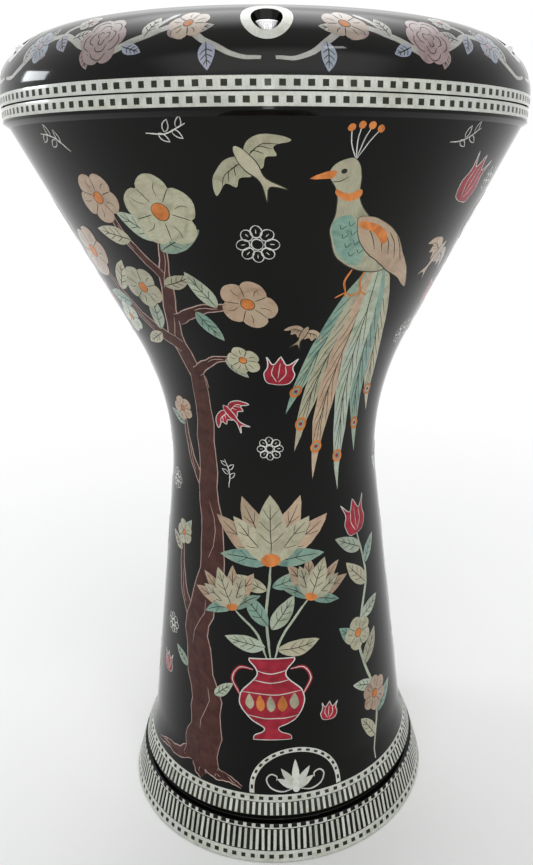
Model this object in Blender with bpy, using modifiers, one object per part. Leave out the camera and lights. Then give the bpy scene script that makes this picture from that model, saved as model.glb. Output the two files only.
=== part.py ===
"""Goblet drum of cast aluminium with pearl inlay: goblet, clamping ring, head, bolts and borders.

Metres, +Z up. The origin is on the drum's axis, on the flat that the foot stands on, and the
front of the drum, with the arch above the foot, faces -Y.
"""

import math

import bmesh
import bpy
from mathutils import Matrix, Vector

# Facets round the axis, round a bolt and round a collar, and along small arcs and fillets
TURN_STEPS = 48
BOLT_STEPS = 12
COLLAR_STEPS = 20
ARC_STEPS = 4
FILLET_STEPS = 3

# Corners sharper than this are shaded as edges
SHARP_ANGLE = math.radians(35)

# How far a cutter reaches past what it cuts
CUT_ROOM = 0.0060

# Clearances
SEAT_GAP = 0.0003
HOOP_SLIDE = 0.0006
GUIDE_SLIDE = 0.0009
PARTING_GAP = 0.0008
COLLAR_BORE_GAP = 0.0001

# Bearing edge: radius of its crown, thickness and height of the collar that carries it
BEARING_RADIUS = 0.1033
COLLAR_WALL = 0.0050
COLLAR_HEIGHT = 0.0291
COLLAR_FILLET = 0.0030

# Head: film thickness, where it leaves the bearing edge, and its skirt
FILM_THICKNESS = 0.0005
FILM_LEAVE_ANGLE = math.radians(35)
SKIRT_END_CLEARANCE = 0.0029

# Hoop: a channel that opens upwards and takes the skirt
HOOP_INNER_WALL = 0.0012
HOOP_CHANNEL = 0.0028
HOOP_OUTER_WALL = 0.0040
HOOP_DROP = 0.0037
HOOP_HEIGHT = 0.0120
HOOP_FLOOR = 0.0020
HOOP_INNER_DROP = 0.0041

# Clamping ring: lip over the hoop, bolt place, straight band, elliptical shoulder, hollow underside
LIP_REACH = 0.0044
LIP_EDGE_RADIUS = 0.0015
BOLT_INSET = 0.0127
BOLT_COVER = 0.0120
RING_BAND_HEIGHT = 0.0056
SHOULDER_RISE = 0.0295
SHOULDER_REACH = 0.0380
SHOULDER_STEPS = 7
RING_INNER_WALL = 0.0042
RING_OUTER_WALL = 0.0047
RING_ROOF = 0.0150
BOSS_RADIUS = 0.0095

# Bolts: socket-head cap screws, seated on washers in counterbores
BOLT_COUNT = 6
BOLT_RADIUS = 0.0030
BOLT_LENGTH = 0.0300
BOLT_TIP_CHAMFER = 0.0008
HEAD_RADIUS = 0.0050
HEAD_HEIGHT = 0.0060
HEAD_CHAMFER = 0.0004
HEAD_SINK = 0.0019
SOCKET_ACROSS_FLATS = 0.0050
SOCKET_DEPTH = 0.0030
WASHER_RADIUS = 0.0058
WASHER_THICKNESS = 0.0012
COUNTERBORE_RADIUS = 0.0062
HOLE_TIP_ROOM = 0.0030

# Goblet: flange, rim, bowl, waist, neck and foot
FLANGE_HEIGHT = 0.4312
FLANGE_THICKNESS = 0.0070
RIM_STEP = 0.0005
RIM_BEAD = 0.0010
RIM_FLARE = 0.0020
RIM_FLARE_REACH = 0.0029
THROAT_RADIUS = 0.0591
THROAT_HEIGHT = 0.2694
WAIST_SWEEP = 0.1615
WAIST_STEPS = 8
NECK_RADIUS = 0.0860
FOOT_HEIGHT = 0.0476
FOOT_RADIUS = 0.1022
FOOT_STEP = 0.0017
FOOT_UPPER_REACH = 0.0077
GROOVE_TOP = 0.0281
GROOVE_HEIGHT = 0.0044
GROOVE_DEPTH = 0.0018
WALL = 0.0045
FOOT_WALL = 0.0062
LUG_RADIUS = 0.0080
LUG_DEPTH = 0.0180
LUG_CHAMFER = 0.0020

# Pearl borders, flush in rebates
INLAY = 0.0007
RIM_STRIP_HEIGHT = 0.0051
FOOT_UPPER_STRIP_TOP = 0.0400
FOOT_LOWER_STRIP_TOP = 0.0214
FLOOR_CLEARANCE = 0.0005
COLLAR_STRIP_WIDTH = 0.0033

# Arch above the foot: where it stands round the drum, its outer radius and its strip
ARCH_TURN = math.radians(6.5)
ARCH_RADIUS = 0.0290
ARCH_STRIP = 0.0030
ARCH_STEPS = 14
ARCH_LEG = 0.0012

# Radii, from the bearing edge outwards
collar_inner = BEARING_RADIUS - COLLAR_WALL / 2
collar_outer = BEARING_RADIUS + COLLAR_WALL / 2
hoop_inner = collar_outer + HOOP_SLIDE
channel_inner = hoop_inner + HOOP_INNER_WALL
channel_outer = channel_inner + HOOP_CHANNEL
hoop_outer = channel_outer + HOOP_OUTER_WALL
ring_guide = hoop_outer + GUIDE_SLIDE
ring_bore = hoop_outer - LIP_REACH
bolt_circle = ring_guide + BOLT_INSET
ring_radius = bolt_circle + BOLT_COVER
rim_radius = ring_radius - RIM_STEP
hole_radius = BOLT_RADIUS + SEAT_GAP
rebate = INLAY + SEAT_GAP

# Heights, from the flange upwards
bearing_height = FLANGE_HEIGHT + COLLAR_HEIGHT
hoop_top = bearing_height - HOOP_DROP
hoop_bottom = hoop_top - HOOP_HEIGHT
ring_bottom = FLANGE_HEIGHT + PARTING_GAP
shoulder_foot = ring_bottom + RING_BAND_HEIGHT
lip_underside = hoop_top + SEAT_GAP

# Front of the drum, where the first bolt stands
FRONT = -math.pi / 2


def shoulder_height(radius):
    """Height of the ring's elliptical shoulder at a distance from the axis."""
    share = (radius - ring_radius + SHOULDER_REACH) / SHOULDER_REACH
    return shoulder_foot + SHOULDER_RISE * math.sqrt(max(0.0, 1 - share * share))


head_top = shoulder_height(bolt_circle) - HEAD_SINK
head_underside = head_top - HEAD_HEIGHT
washer_top = head_underside - SEAT_GAP
counterbore_floor = washer_top - WASHER_THICKNESS - SEAT_GAP
bolt_tip = head_underside - BOLT_LENGTH

# Heights of the rim, below the flange
rim_strip_bottom = FLANGE_HEIGHT - RIM_STRIP_HEIGHT
rim_rebate_bottom = rim_strip_bottom - SEAT_GAP
bead_bottom = rim_rebate_bottom - RIM_BEAD
bowl_top = (rim_radius - RIM_FLARE_REACH, bead_bottom - RIM_FLARE)
throat = (THROAT_RADIUS, THROAT_HEIGHT)
neck_bottom = (NECK_RADIUS, FOOT_HEIGHT)

# Faces of the foot: the upper one above the groove, the lower one below it
groove_bottom = GROOVE_TOP - GROOVE_HEIGHT
upper_foot_radius = NECK_RADIUS + FOOT_UPPER_REACH
lower_foot_radius = upper_foot_radius + FOOT_STEP

collection = bpy.data.collections.new("goblet_drum")
cutters = bpy.data.collections.new("cutters")


def clear_scene():
    """Start from an empty scene with the two collections linked."""
    for obj in list(bpy.data.objects):
        bpy.data.objects.remove(obj, do_unlink=True)
    bpy.context.scene.collection.children.link(collection)
    bpy.context.scene.collection.children.link(cutters)


def material(name, colour, roughness, metallic):
    """Plain finish of one kind of piece."""
    made = bpy.data.materials.new(name)
    made.use_nodes = True
    shader = made.node_tree.nodes["Principled BSDF"]
    shader.inputs["Base Color"].default_value = (*colour, 1.0)
    shader.inputs["Roughness"].default_value = roughness
    shader.inputs["Metallic"].default_value = metallic
    return made


def add(name, mesh, finish):
    """Put a mesh in the drum's collection as a named piece."""
    obj = bpy.data.objects.new(name, mesh)
    if finish.name not in mesh.materials:
        mesh.materials.append(finish)
    collection.objects.link(obj)
    return obj


def add_cutter(name, mesh):
    """Put a mesh in the cutters' collection, shown as wire and never rendered."""
    obj = bpy.data.objects.new(name, mesh)
    obj.hide_render = True
    obj.display_type = "WIRE"
    cutters.objects.link(obj)
    return obj


def boolean(obj, cutter, operation):
    """Cut, join or cross a piece with another one."""
    made = obj.modifiers.new(operation.title() + " " + cutter.name, "BOOLEAN")
    made.operation = operation
    made.solver = "EXACT"
    made.object = cutter


def weld(obj):
    """Merge the corners that lie on each other after the cuts."""
    made = obj.modifiers.new("Weld", "WELD")
    made.merge_threshold = 0.00001


def baked(obj):
    """The piece's mesh with its modifiers applied, while the object itself goes."""
    bpy.context.view_layer.update()
    graph = bpy.context.evaluated_depsgraph_get()
    mesh = bpy.data.meshes.new_from_object(obj.evaluated_get(graph))
    bpy.data.objects.remove(obj, do_unlink=True)
    return mesh


def settle(obj):
    """Apply the piece's modifiers, then shade its round faces smooth and its corners sharp."""
    bpy.context.view_layer.update()
    graph = bpy.context.evaluated_depsgraph_get()
    obj.data = bpy.data.meshes.new_from_object(obj.evaluated_get(graph))
    obj.modifiers.clear()
    obj.data.shade_smooth()
    obj.data.set_sharp_from_angle(angle=SHARP_ANGLE)


def outline_mesh(name, outline, closed):
    """Edges of an outline of (radius, height) points in the XZ plane."""
    mesh = bpy.data.meshes.new(name)
    count = len(outline)
    edges = [(i, (i + 1) % count) for i in range(count if closed else count - 1)]
    mesh.from_pydata([(r, 0.0, z) for r, z in outline], edges, [])
    return mesh


def turn(obj, steps):
    """Turn an outline round Z. The outline runs down its outer side."""
    screw = obj.modifiers.new("Turn", "SCREW")
    screw.axis = "Z"
    screw.angle = 2 * math.pi
    screw.steps = steps
    screw.render_steps = steps
    screw.use_merge_vertices = True
    screw.merge_threshold = 0.00001
    screw.use_smooth_shade = True


def turned(name, outline, finish, closed=True):
    """A piece turned round the drum's axis."""
    obj = add(name, outline_mesh(name, outline, closed), finish)
    turn(obj, TURN_STEPS)
    return obj


def turned_cutter(name, outline, steps=TURN_STEPS, closed=True):
    """A cutter turned round Z."""
    obj = add_cutter(name, outline_mesh(name, outline, closed))
    turn(obj, steps)
    return obj


def around(name, mesh, turns):
    """One cutter that holds a copy of a mesh at each of the given turns round the axis."""
    made = bmesh.new()
    for angle in turns:
        before = len(made.verts)
        made.from_mesh(mesh)
        made.verts.ensure_lookup_table()
        bmesh.ops.rotate(made, cent=(0, 0, 0), matrix=Matrix.Rotation(angle, 3, "Z"),
                         verts=made.verts[before:])
    joined = bpy.data.meshes.new(name)
    made.to_mesh(joined)
    made.free()
    return add_cutter(name, joined)


def bolt_turns():
    """Turns from the first bolt, at the front, to each of the bolts."""
    return [2 * math.pi * i / BOLT_COUNT for i in range(BOLT_COUNT)]


def half_step(mesh, steps):
    """Turn a small turned mesh by half a facet, so that no corner meets the drum's own facets."""
    mesh.transform(Matrix.Rotation(math.pi / steps, 4, "Z"))
    return mesh


def at_first_bolt(mesh, steps=BOLT_STEPS):
    """Move a mesh from the drum's axis to the first bolt's axis."""
    half_step(mesh, steps)
    mesh.transform(Matrix.Translation((0, -bolt_circle, 0)))
    return mesh


def arc(centre, radius, first, last, steps):
    """Points along an arc, from one angle to another, both ends included."""
    angles = [first + (last - first) * i / steps for i in range(steps + 1)]
    return [(centre[0] + radius * math.cos(a), centre[1] + radius * math.sin(a)) for a in angles]


def fillet(start, corner, end, radius, steps):
    """Points of the arc that rounds the corner between two straight runs."""
    corner = Vector(corner)
    back = (Vector(start) - corner).normalized()
    ahead = (Vector(end) - corner).normalized()
    half = back.angle(ahead) / 2
    centre = corner + (back + ahead).normalized() * (radius / math.sin(half))
    reach = radius / math.tan(half)
    spoke = corner + back * reach - centre
    first = math.atan2(spoke.y, spoke.x)
    spoke = corner + ahead * reach - centre
    sweep = math.remainder(math.atan2(spoke.y, spoke.x) - first, 2 * math.pi)
    return arc(centre, radius, first, first + sweep, steps)


def crossing(a, b, c, d):
    """Point where the line through a and b meets the line through c and d."""
    run = (b[0] - a[0], b[1] - a[1])
    other = (d[0] - c[0], d[1] - c[1])
    over = run[0] * other[1] - run[1] * other[0]
    share = ((c[0] - a[0]) * other[1] - (c[1] - a[1]) * other[0]) / over
    return (a[0] + run[0] * share, a[1] + run[1] * share)


def on_line(a, b, height):
    """Point of a straight side at a height."""
    share = (height - a[1]) / (b[1] - a[1])
    return (a[0] + (b[0] - a[0]) * share, height)


def inset_line(a, b, depth):
    """A side that runs downwards, moved inwards, square to itself."""
    run = (Vector(b) - Vector(a)).normalized()
    shift = Vector((run.y, -run.x)) * depth
    return tuple(Vector(a) + shift), tuple(Vector(b) + shift)


def goblet_side(depth, steps):
    """The goblet's bowl, waist and neck, from top to bottom, at a depth below the surface."""
    bowl = inset_line(bowl_top, throat, depth)
    neck = inset_line(throat, neck_bottom, depth)
    corner = crossing(*bowl, *neck)
    waist = fillet(bowl[0], corner, neck[1], WAIST_SWEEP + depth, steps)
    return [bowl[0], *waist, neck[1]]


def upper_foot(height, depth=0.0):
    """Point on the foot's upper face, or below it."""
    point = on_line(neck_bottom, (upper_foot_radius, GROOVE_TOP), height)
    return (point[0] - depth, height)


def lower_foot(height, depth=0.0):
    """Point on the foot's lower face, or below it."""
    point = on_line((lower_foot_radius, groove_bottom), (FOOT_RADIUS, 0.0), height)
    return (point[0] - depth, height)


def shoulder(depth, inner_radius):
    """The ring's shoulder at a depth below its surface, from the inside down to the band."""
    reach = SHOULDER_REACH - depth
    rise = SHOULDER_RISE - depth
    centre = ring_radius - SHOULDER_REACH
    first = math.acos((inner_radius - centre) / reach)
    angles = [first * (1 - i / SHOULDER_STEPS) for i in range(SHOULDER_STEPS + 1)]
    return [(centre + reach * math.cos(a), shoulder_foot + rise * math.sin(a)) for a in angles]


def make_shell(finish):
    """Goblet casting: bearing edge, flange, bowl, waist, neck and foot, with lugs for the bolts."""
    crown = arc((BEARING_RADIUS, bearing_height - COLLAR_WALL / 2), COLLAR_WALL / 2,
                math.pi, 0.0, ARC_STEPS)
    collar_foot = fillet((collar_outer, bearing_height), (collar_outer, FLANGE_HEIGHT),
                         (rim_radius, FLANGE_HEIGHT), COLLAR_FILLET, FILLET_STEPS)
    rim = [
        (rim_radius - rebate, FLANGE_HEIGHT),
        (rim_radius - rebate, rim_rebate_bottom),
        (rim_radius, rim_rebate_bottom),
        (rim_radius, bead_bottom),
    ]
    foot = [
        upper_foot(FOOT_UPPER_STRIP_TOP + SEAT_GAP),
        upper_foot(FOOT_UPPER_STRIP_TOP + SEAT_GAP, rebate),
        upper_foot(GROOVE_TOP, rebate),
        (upper_foot_radius - GROOVE_DEPTH, GROOVE_TOP),
        (upper_foot_radius - GROOVE_DEPTH, groove_bottom),
        lower_foot(groove_bottom),
        lower_foot(FOOT_LOWER_STRIP_TOP + SEAT_GAP),
        lower_foot(FOOT_LOWER_STRIP_TOP + SEAT_GAP, rebate),
        lower_foot(0.0, rebate),
        lower_foot(0.0, FOOT_WALL),
    ]
    inside = goblet_side(WALL, WAIST_STEPS // 2)[::-1]
    flange_underside = FLANGE_HEIGHT - FLANGE_THICKNESS
    inside[-1] = on_line(inside[-2], inside[-1], flange_underside)
    ceiling = [
        (collar_inner + COLLAR_FILLET, flange_underside),
        (collar_inner, flange_underside + COLLAR_FILLET),
    ]
    outline = [*crown, *collar_foot, *rim, *goblet_side(0.0, WAIST_STEPS), *foot, *inside, *ceiling]
    shell = turned("shell", outline, finish)

    lugs = turned_cutter("lugs", [
        (0.0, FLANGE_HEIGHT - FLANGE_THICKNESS / 2),
        (LUG_RADIUS, FLANGE_HEIGHT - FLANGE_THICKNESS / 2),
        (LUG_RADIUS, FLANGE_HEIGHT - LUG_DEPTH + LUG_CHAMFER),
        (LUG_RADIUS - LUG_CHAMFER, FLANGE_HEIGHT - LUG_DEPTH),
        (0.0, FLANGE_HEIGHT - LUG_DEPTH),
    ], BOLT_STEPS, closed=False)
    lugs = around("lugs", at_first_bolt(baked(lugs)), bolt_turns())
    within = inset_line(bowl_top, throat, WALL / 2)
    top = on_line(*within, FLANGE_HEIGHT)
    low = on_line(*within, FLANGE_HEIGHT - LUG_DEPTH - CUT_ROOM)
    lug_room = turned_cutter("lug_room", [top, low, (collar_inner, low[1]), (collar_inner, top[1])])
    boolean(lugs, lug_room, "INTERSECT")
    boolean(shell, lugs, "UNION")

    hole = turned_cutter("bolt_hole", [
        (0.0, FLANGE_HEIGHT + CUT_ROOM),
        (hole_radius, FLANGE_HEIGHT + CUT_ROOM),
        (hole_radius, bolt_tip - HOLE_TIP_ROOM + BOLT_TIP_CHAMFER),
        (hole_radius - BOLT_TIP_CHAMFER, bolt_tip - HOLE_TIP_ROOM),
        (0.0, bolt_tip - HOLE_TIP_ROOM),
    ], BOLT_STEPS, closed=False)
    boolean(shell, around("bolt_holes", at_first_bolt(baked(hole)), bolt_turns()), "DIFFERENCE")
    boolean(shell, arch_piece("arch_pocket", SEAT_GAP, rebate, GROOVE_DEPTH), "DIFFERENCE")
    weld(shell)
    return shell


def arch_outline(growth):
    """Outline of the arch's strip, as (across, height) points, grown by a clearance."""
    spring = FOOT_UPPER_STRIP_TOP + SEAT_GAP + ARCH_LEG
    foot = FOOT_UPPER_STRIP_TOP + 2 * SEAT_GAP - growth / 2
    outer = arc((0.0, spring), ARCH_RADIUS + growth, 0.0, math.pi, ARCH_STEPS)
    inner = arc((0.0, spring), ARCH_RADIUS - ARCH_STRIP - growth, math.pi, 0.0, ARCH_STEPS)
    return [(outer[0][0], foot), *outer, (outer[-1][0], foot),
            (inner[0][0], foot), *inner, (inner[-1][0], foot)]


def arch_piece(name, growth, depth, rise):
    """Arch-shaped piece of the goblet's skin, from a depth below the surface to a rise above it."""
    curve = bpy.data.curves.new(name, "CURVE")
    curve.dimensions = "2D"
    curve.fill_mode = "BOTH"
    curve.extrude = ARCH_RADIUS
    outline = arch_outline(growth)
    spline = curve.splines.new("POLY")
    spline.points.add(len(outline) - 1)
    for point, (across, height) in zip(spline.points, outline):
        point.co = (across, height, 0.0, 1.0)
    spline.use_cyclic_u = True
    flat = bpy.data.objects.new(name, curve)
    cutters.objects.link(flat)
    prism = baked(flat)
    merged = bmesh.new()
    merged.from_mesh(prism)
    bmesh.ops.remove_doubles(merged, verts=merged.verts, dist=0.00001)
    merged.to_mesh(prism)
    merged.free()
    stand = Matrix.Rotation(ARCH_TURN, 4, "Z") @ Matrix.Translation((0, -NECK_RADIUS, 0))
    prism.transform(stand @ Matrix.Rotation(math.pi / 2, 4, "X"))
    piece = add_cutter(name, prism)

    top = FOOT_UPPER_STRIP_TOP + 2 * ARCH_RADIUS
    neck = on_line(throat, neck_bottom, top)
    low = upper_foot(FOOT_UPPER_STRIP_TOP - ARCH_LEG)
    outside = [(r + rise, z) for r, z in (neck, neck_bottom, low)]
    inside = [(r - depth, z) for r, z in (low, neck_bottom, neck)]
    skin = turned_cutter(name + "_skin", outside + inside)
    boolean(piece, skin, "INTERSECT")
    return piece


def make_tension_ring(finish):
    """Clamping ring: lip over the hoop, counterbored shoulder, hollow underside with bosses."""
    lip_top = shoulder_height(ring_bore + LIP_EDGE_RADIUS)
    lip_edge = arc((ring_bore + LIP_EDGE_RADIUS, lip_top - LIP_EDGE_RADIUS), LIP_EDGE_RADIUS,
                   math.pi, math.pi / 2, FILLET_STEPS)
    curve = shoulder(0.0, ring_bore + LIP_EDGE_RADIUS)
    rebate_top = ring_bottom + RIM_STRIP_HEIGHT + SEAT_GAP
    outline = [
        *lip_edge,
        *curve[1:],
        (ring_radius, rebate_top),
        (ring_radius - rebate, rebate_top),
        (ring_radius - rebate, ring_bottom),
        (ring_guide, ring_bottom),
        (ring_guide, lip_underside),
        (ring_bore, lip_underside),
    ]
    ring = turned("tension_ring", outline, finish)

    roof = ring_bottom + RING_ROOF
    hollow_inner = ring_guide + RING_INNER_WALL
    hollow_outer = ring_radius - RING_OUTER_WALL
    below = ring_bottom - CUT_ROOM
    hollow = turned_cutter("ring_hollow", [
        (hollow_inner, roof),
        (hollow_outer, roof),
        (hollow_outer, below),
        (hollow_inner, below),
    ])
    boss = turned_cutter("boss", [
        (0.0, roof + CUT_ROOM),
        (BOSS_RADIUS, roof + CUT_ROOM),
        (BOSS_RADIUS, below - CUT_ROOM),
        (0.0, below - CUT_ROOM),
    ], BOLT_STEPS, closed=False)
    boolean(hollow, around("bosses", at_first_bolt(baked(boss)), bolt_turns()), "DIFFERENCE")
    boolean(ring, hollow, "DIFFERENCE")

    bore = turned_cutter("counterbore", [
        (0.0, lip_top + CUT_ROOM),
        (COUNTERBORE_RADIUS, lip_top + CUT_ROOM),
        (COUNTERBORE_RADIUS, counterbore_floor),
        (hole_radius, counterbore_floor),
        (hole_radius, below),
        (0.0, below),
    ], BOLT_STEPS, closed=False)
    boolean(ring, around("counterbores", at_first_bolt(baked(bore)), bolt_turns()), "DIFFERENCE")

    pocket = collar_mesh("collar_pocket", 0.0, SEAT_GAP, rebate, CUT_ROOM)
    boolean(ring, around("collar_pockets", pocket, bolt_turns()), "DIFFERENCE")
    weld(ring)
    return ring


def collar_mesh(name, bore, growth, depth, rise):
    """Round piece of the ring's shoulder at the first bolt, from a depth to a rise above it."""
    outer = COUNTERBORE_RADIUS + COLLAR_STRIP_WIDTH + growth
    high = shoulder_height(ring_bore) + SHOULDER_RISE
    low = shoulder_foot
    section = [(bore, high), (outer, high), (outer, low), (bore, low)]
    piece = turned_cutter(name, section, COLLAR_STEPS, closed=bore > 0)
    piece = add_cutter(name, at_first_bolt(baked(piece), COLLAR_STEPS))
    outside = [(r + rise, z + rise) for r, z in shoulder(0.0, ring_bore + LIP_EDGE_RADIUS)]
    inside = shoulder(depth, ring_bore + LIP_EDGE_RADIUS)[::-1]
    skin = turned_cutter(name + "_skin", outside + inside)
    boolean(piece, skin, "INTERSECT")
    mesh = baked(piece)
    bpy.data.objects.remove(skin, do_unlink=True)
    return mesh


def make_collars(finish):
    """Pearl collar round each counterbore, flush with the ring's shoulder."""
    mesh = collar_mesh("bolt_collar", COUNTERBORE_RADIUS + COLLAR_BORE_GAP, 0.0, INLAY, 0.0)
    for index, angle in enumerate(bolt_turns()):
        collar = add(f"bolt_collar_{index + 1}", mesh, finish)
        collar.rotation_euler.z = angle


def make_head(finish):
    """Film head: flat over the bearing edge, bent down into a skirt that enters the hoop."""
    centre = (BEARING_RADIUS, bearing_height - COLLAR_WALL / 2)
    under = COLLAR_WALL / 2 + SEAT_GAP
    over = under + FILM_THICKNESS
    skirt = (channel_inner + channel_outer + FILM_THICKNESS) / 2
    skirt_end = hoop_bottom + HOOP_FLOOR + SKIRT_END_CLEARANCE
    bend = arc(centre, over, math.pi / 2, FILM_LEAVE_ANGLE, ARC_STEPS // 2)
    slope = (math.sin(FILM_LEAVE_ANGLE), -math.cos(FILM_LEAVE_ANGLE))
    leave = bend[-1]
    drop = (skirt - leave[0]) / slope[0] * slope[1]
    inner_bend = arc(centre, under, FILM_LEAVE_ANGLE, math.pi / 2, ARC_STEPS // 2)
    inner_leave = inner_bend[0]
    inner_drop = (skirt - FILM_THICKNESS - inner_leave[0]) / slope[0] * slope[1]
    outline = [
        (0.0, centre[1] + over),
        *bend,
        (skirt, leave[1] + drop),
        (skirt, skirt_end),
        (skirt - FILM_THICKNESS, skirt_end),
        (skirt - FILM_THICKNESS, inner_leave[1] + inner_drop),
        *inner_bend,
        (0.0, centre[1] + under),
    ]
    return turned("drum_head", outline, finish, closed=False)


def make_hoop(finish):
    """Head hoop: a channel open at the top, its outer wall pressed by the ring's lip."""
    floor = hoop_bottom + HOOP_FLOOR
    inner_top = hoop_top - HOOP_INNER_DROP
    return turned("head_hoop", [
        (channel_outer, hoop_top),
        (hoop_outer, hoop_top),
        (hoop_outer, hoop_bottom),
        (hoop_inner, hoop_bottom),
        (hoop_inner, inner_top),
        (channel_inner, inner_top),
        (channel_inner, floor),
        (channel_outer, floor),
    ], finish)


def make_borders(finish):
    """The four pearl borders: two at the parting line, two on the foot."""
    rim = rim_radius
    turned("rim_border", [
        (rim - INLAY, FLANGE_HEIGHT),
        (rim, FLANGE_HEIGHT),
        (rim, rim_strip_bottom),
        (rim - INLAY, rim_strip_bottom),
    ], finish)
    turned("ring_border", [
        (ring_radius - INLAY, ring_bottom + RIM_STRIP_HEIGHT),
        (ring_radius, ring_bottom + RIM_STRIP_HEIGHT),
        (ring_radius, ring_bottom),
        (ring_radius - INLAY, ring_bottom),
    ], finish)
    turned("foot_upper_border", [
        upper_foot(FOOT_UPPER_STRIP_TOP, INLAY),
        upper_foot(FOOT_UPPER_STRIP_TOP),
        upper_foot(GROOVE_TOP),
        upper_foot(GROOVE_TOP, INLAY),
    ], finish)
    turned("foot_lower_border", [
        lower_foot(FOOT_LOWER_STRIP_TOP, INLAY),
        lower_foot(FOOT_LOWER_STRIP_TOP),
        lower_foot(FLOOR_CLEARANCE),
        lower_foot(FLOOR_CLEARANCE, INLAY),
    ], finish)


def make_arch(finish):
    """Pearl arch above the foot, set in its pocket."""
    piece = arch_piece("arch", 0.0, INLAY, 0.0)
    return add("arch_frame", baked(piece), finish)


def make_bolts(bolt_finish, washer_finish):
    """Socket-head bolts, each with a washer under its head, in the ring's counterbores."""
    blank = turned_cutter("bolt_blank", [
        (0.0, head_top),
        (HEAD_RADIUS - HEAD_CHAMFER, head_top),
        (HEAD_RADIUS, head_top - HEAD_CHAMFER),
        (HEAD_RADIUS, head_underside),
        (BOLT_RADIUS, head_underside),
        (BOLT_RADIUS, bolt_tip + BOLT_TIP_CHAMFER),
        (BOLT_RADIUS - BOLT_TIP_CHAMFER, bolt_tip),
        (0.0, bolt_tip),
    ], BOLT_STEPS, closed=False)
    key = bmesh.new()
    corner_radius = SOCKET_ACROSS_FLATS / math.sqrt(3)
    bmesh.ops.create_cone(key, cap_ends=True, segments=6, radius1=corner_radius,
                          radius2=corner_radius, depth=2 * SOCKET_DEPTH,
                          matrix=Matrix.Translation((0, 0, head_top)))
    bmesh.ops.rotate(key, cent=(0, 0, 0), verts=key.verts,
                     matrix=Matrix.Rotation(math.pi / BOLT_STEPS, 3, "Z"))
    key_mesh = bpy.data.meshes.new("hex_socket")
    key.to_mesh(key_mesh)
    key.free()
    boolean(blank, add_cutter("hex_socket", key_mesh), "DIFFERENCE")
    bolt_mesh = half_step(baked(blank), BOLT_STEPS)
    washer_blank = turned_cutter("washer_blank", [
        (hole_radius, washer_top),
        (WASHER_RADIUS, washer_top),
        (WASHER_RADIUS, washer_top - WASHER_THICKNESS),
        (hole_radius, washer_top - WASHER_THICKNESS),
    ], BOLT_STEPS)
    washer_mesh = half_step(baked(washer_blank), BOLT_STEPS)
    for index, angle in enumerate(bolt_turns()):
        axis = Matrix.Rotation(angle + FRONT, 3, "Z") @ Vector((bolt_circle, 0, 0))
        add(f"tension_bolt_{index + 1}", bolt_mesh, bolt_finish).location = axis
        add(f"bolt_washer_{index + 1}", washer_mesh, washer_finish).location = axis


def main():
    """Build every piece of the drum."""
    clear_scene()
    lacquer = material("black_lacquer", (0.010, 0.011, 0.010), 0.18, 0.0)
    pearl = material("pearl", (0.62, 0.62, 0.54), 0.30, 0.0)
    film = material("clear_film", (0.78, 0.78, 0.74), 0.35, 0.0)
    alloy = material("bare_alloy", (0.60, 0.60, 0.60), 0.35, 1.0)
    steel = material("plated_steel", (0.66, 0.66, 0.68), 0.22, 1.0)
    make_shell(lacquer)
    make_tension_ring(lacquer)
    make_head(film)
    make_hoop(alloy)
    make_bolts(steel, steel)
    make_borders(pearl)
    make_collars(pearl)
    make_arch(pearl)
    for piece in list(collection.objects):
        settle(piece)


main()
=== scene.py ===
"""Looks of the goblet drum: polished lacquer, pearl borders, an inlaid garden, the head and its bolts.

Metres, +Z up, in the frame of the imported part. The front of the drum faces -Y.
"""

import math
import random
from bisect import bisect_right

import bmesh
import bpy
from mathutils import Matrix, Vector, noise
from mathutils.geometry import delaunay_2d_cdt


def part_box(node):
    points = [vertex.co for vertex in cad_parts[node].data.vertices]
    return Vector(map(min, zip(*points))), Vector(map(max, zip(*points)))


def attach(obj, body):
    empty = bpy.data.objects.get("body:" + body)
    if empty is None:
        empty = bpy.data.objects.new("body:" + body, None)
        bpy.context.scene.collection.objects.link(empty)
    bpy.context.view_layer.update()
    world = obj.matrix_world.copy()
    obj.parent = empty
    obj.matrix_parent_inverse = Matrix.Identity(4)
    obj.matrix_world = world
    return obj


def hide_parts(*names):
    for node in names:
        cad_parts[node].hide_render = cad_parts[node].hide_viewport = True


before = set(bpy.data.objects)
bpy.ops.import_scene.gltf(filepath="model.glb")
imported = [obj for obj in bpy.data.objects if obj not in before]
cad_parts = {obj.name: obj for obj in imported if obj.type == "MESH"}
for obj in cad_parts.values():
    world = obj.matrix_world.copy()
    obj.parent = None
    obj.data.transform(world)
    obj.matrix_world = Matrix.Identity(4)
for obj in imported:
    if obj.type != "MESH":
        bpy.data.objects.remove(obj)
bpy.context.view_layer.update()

MM = 0.001
FRONT = math.radians(-90)
BACK = math.radians(90)

# The photograph in pixels: its size, its focal length, and the column that the camera looks straight at
PHOTO_WIDTH = 533
PHOTO_HEIGHT = 865
FOCAL_PIXELS = 765
SIGHT_PIXEL = 303

# The camera that was fitted to it, with its sensor's height in millimetres
CAMERA_SPOT = (0.0, -0.4610, 0.4028)
CAMERA_DOWN = math.radians(18.97)
CAMERA_ROLL = math.radians(-0.25)
CAMERA_YAW = math.radians(-2.3)
SENSOR = 36.0

# Facets round the drum, round a bolt, and along arcs, and the angle past which a corner stays sharp
DRUM_STEPS = 240
BOLT_STEPS = 48
ARC_STEPS = 10
EASE_STEPS = 3
SHARP_ANGLE = math.radians(32)
BOLT_SHARP_ANGLE = math.radians(28)

# Eased corners: their radius, the least turn that is eased, and the share of a run that a curve takes up
EASE = 0.0005
EASE_TURN = math.radians(20)
EASE_SHARE = 0.45
LEAST_EASE = 0.00002

# A distance that counts as none
TINY = 0.0000001

# Room between pieces that meet, beside a border, past what a cutter cuts, and for telling where a face lies
SEAT_GAP = 0.0003
BORDER_GAP = 0.0002
CUT_ROOM = 0.0060
TOUCH = 0.0001

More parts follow.
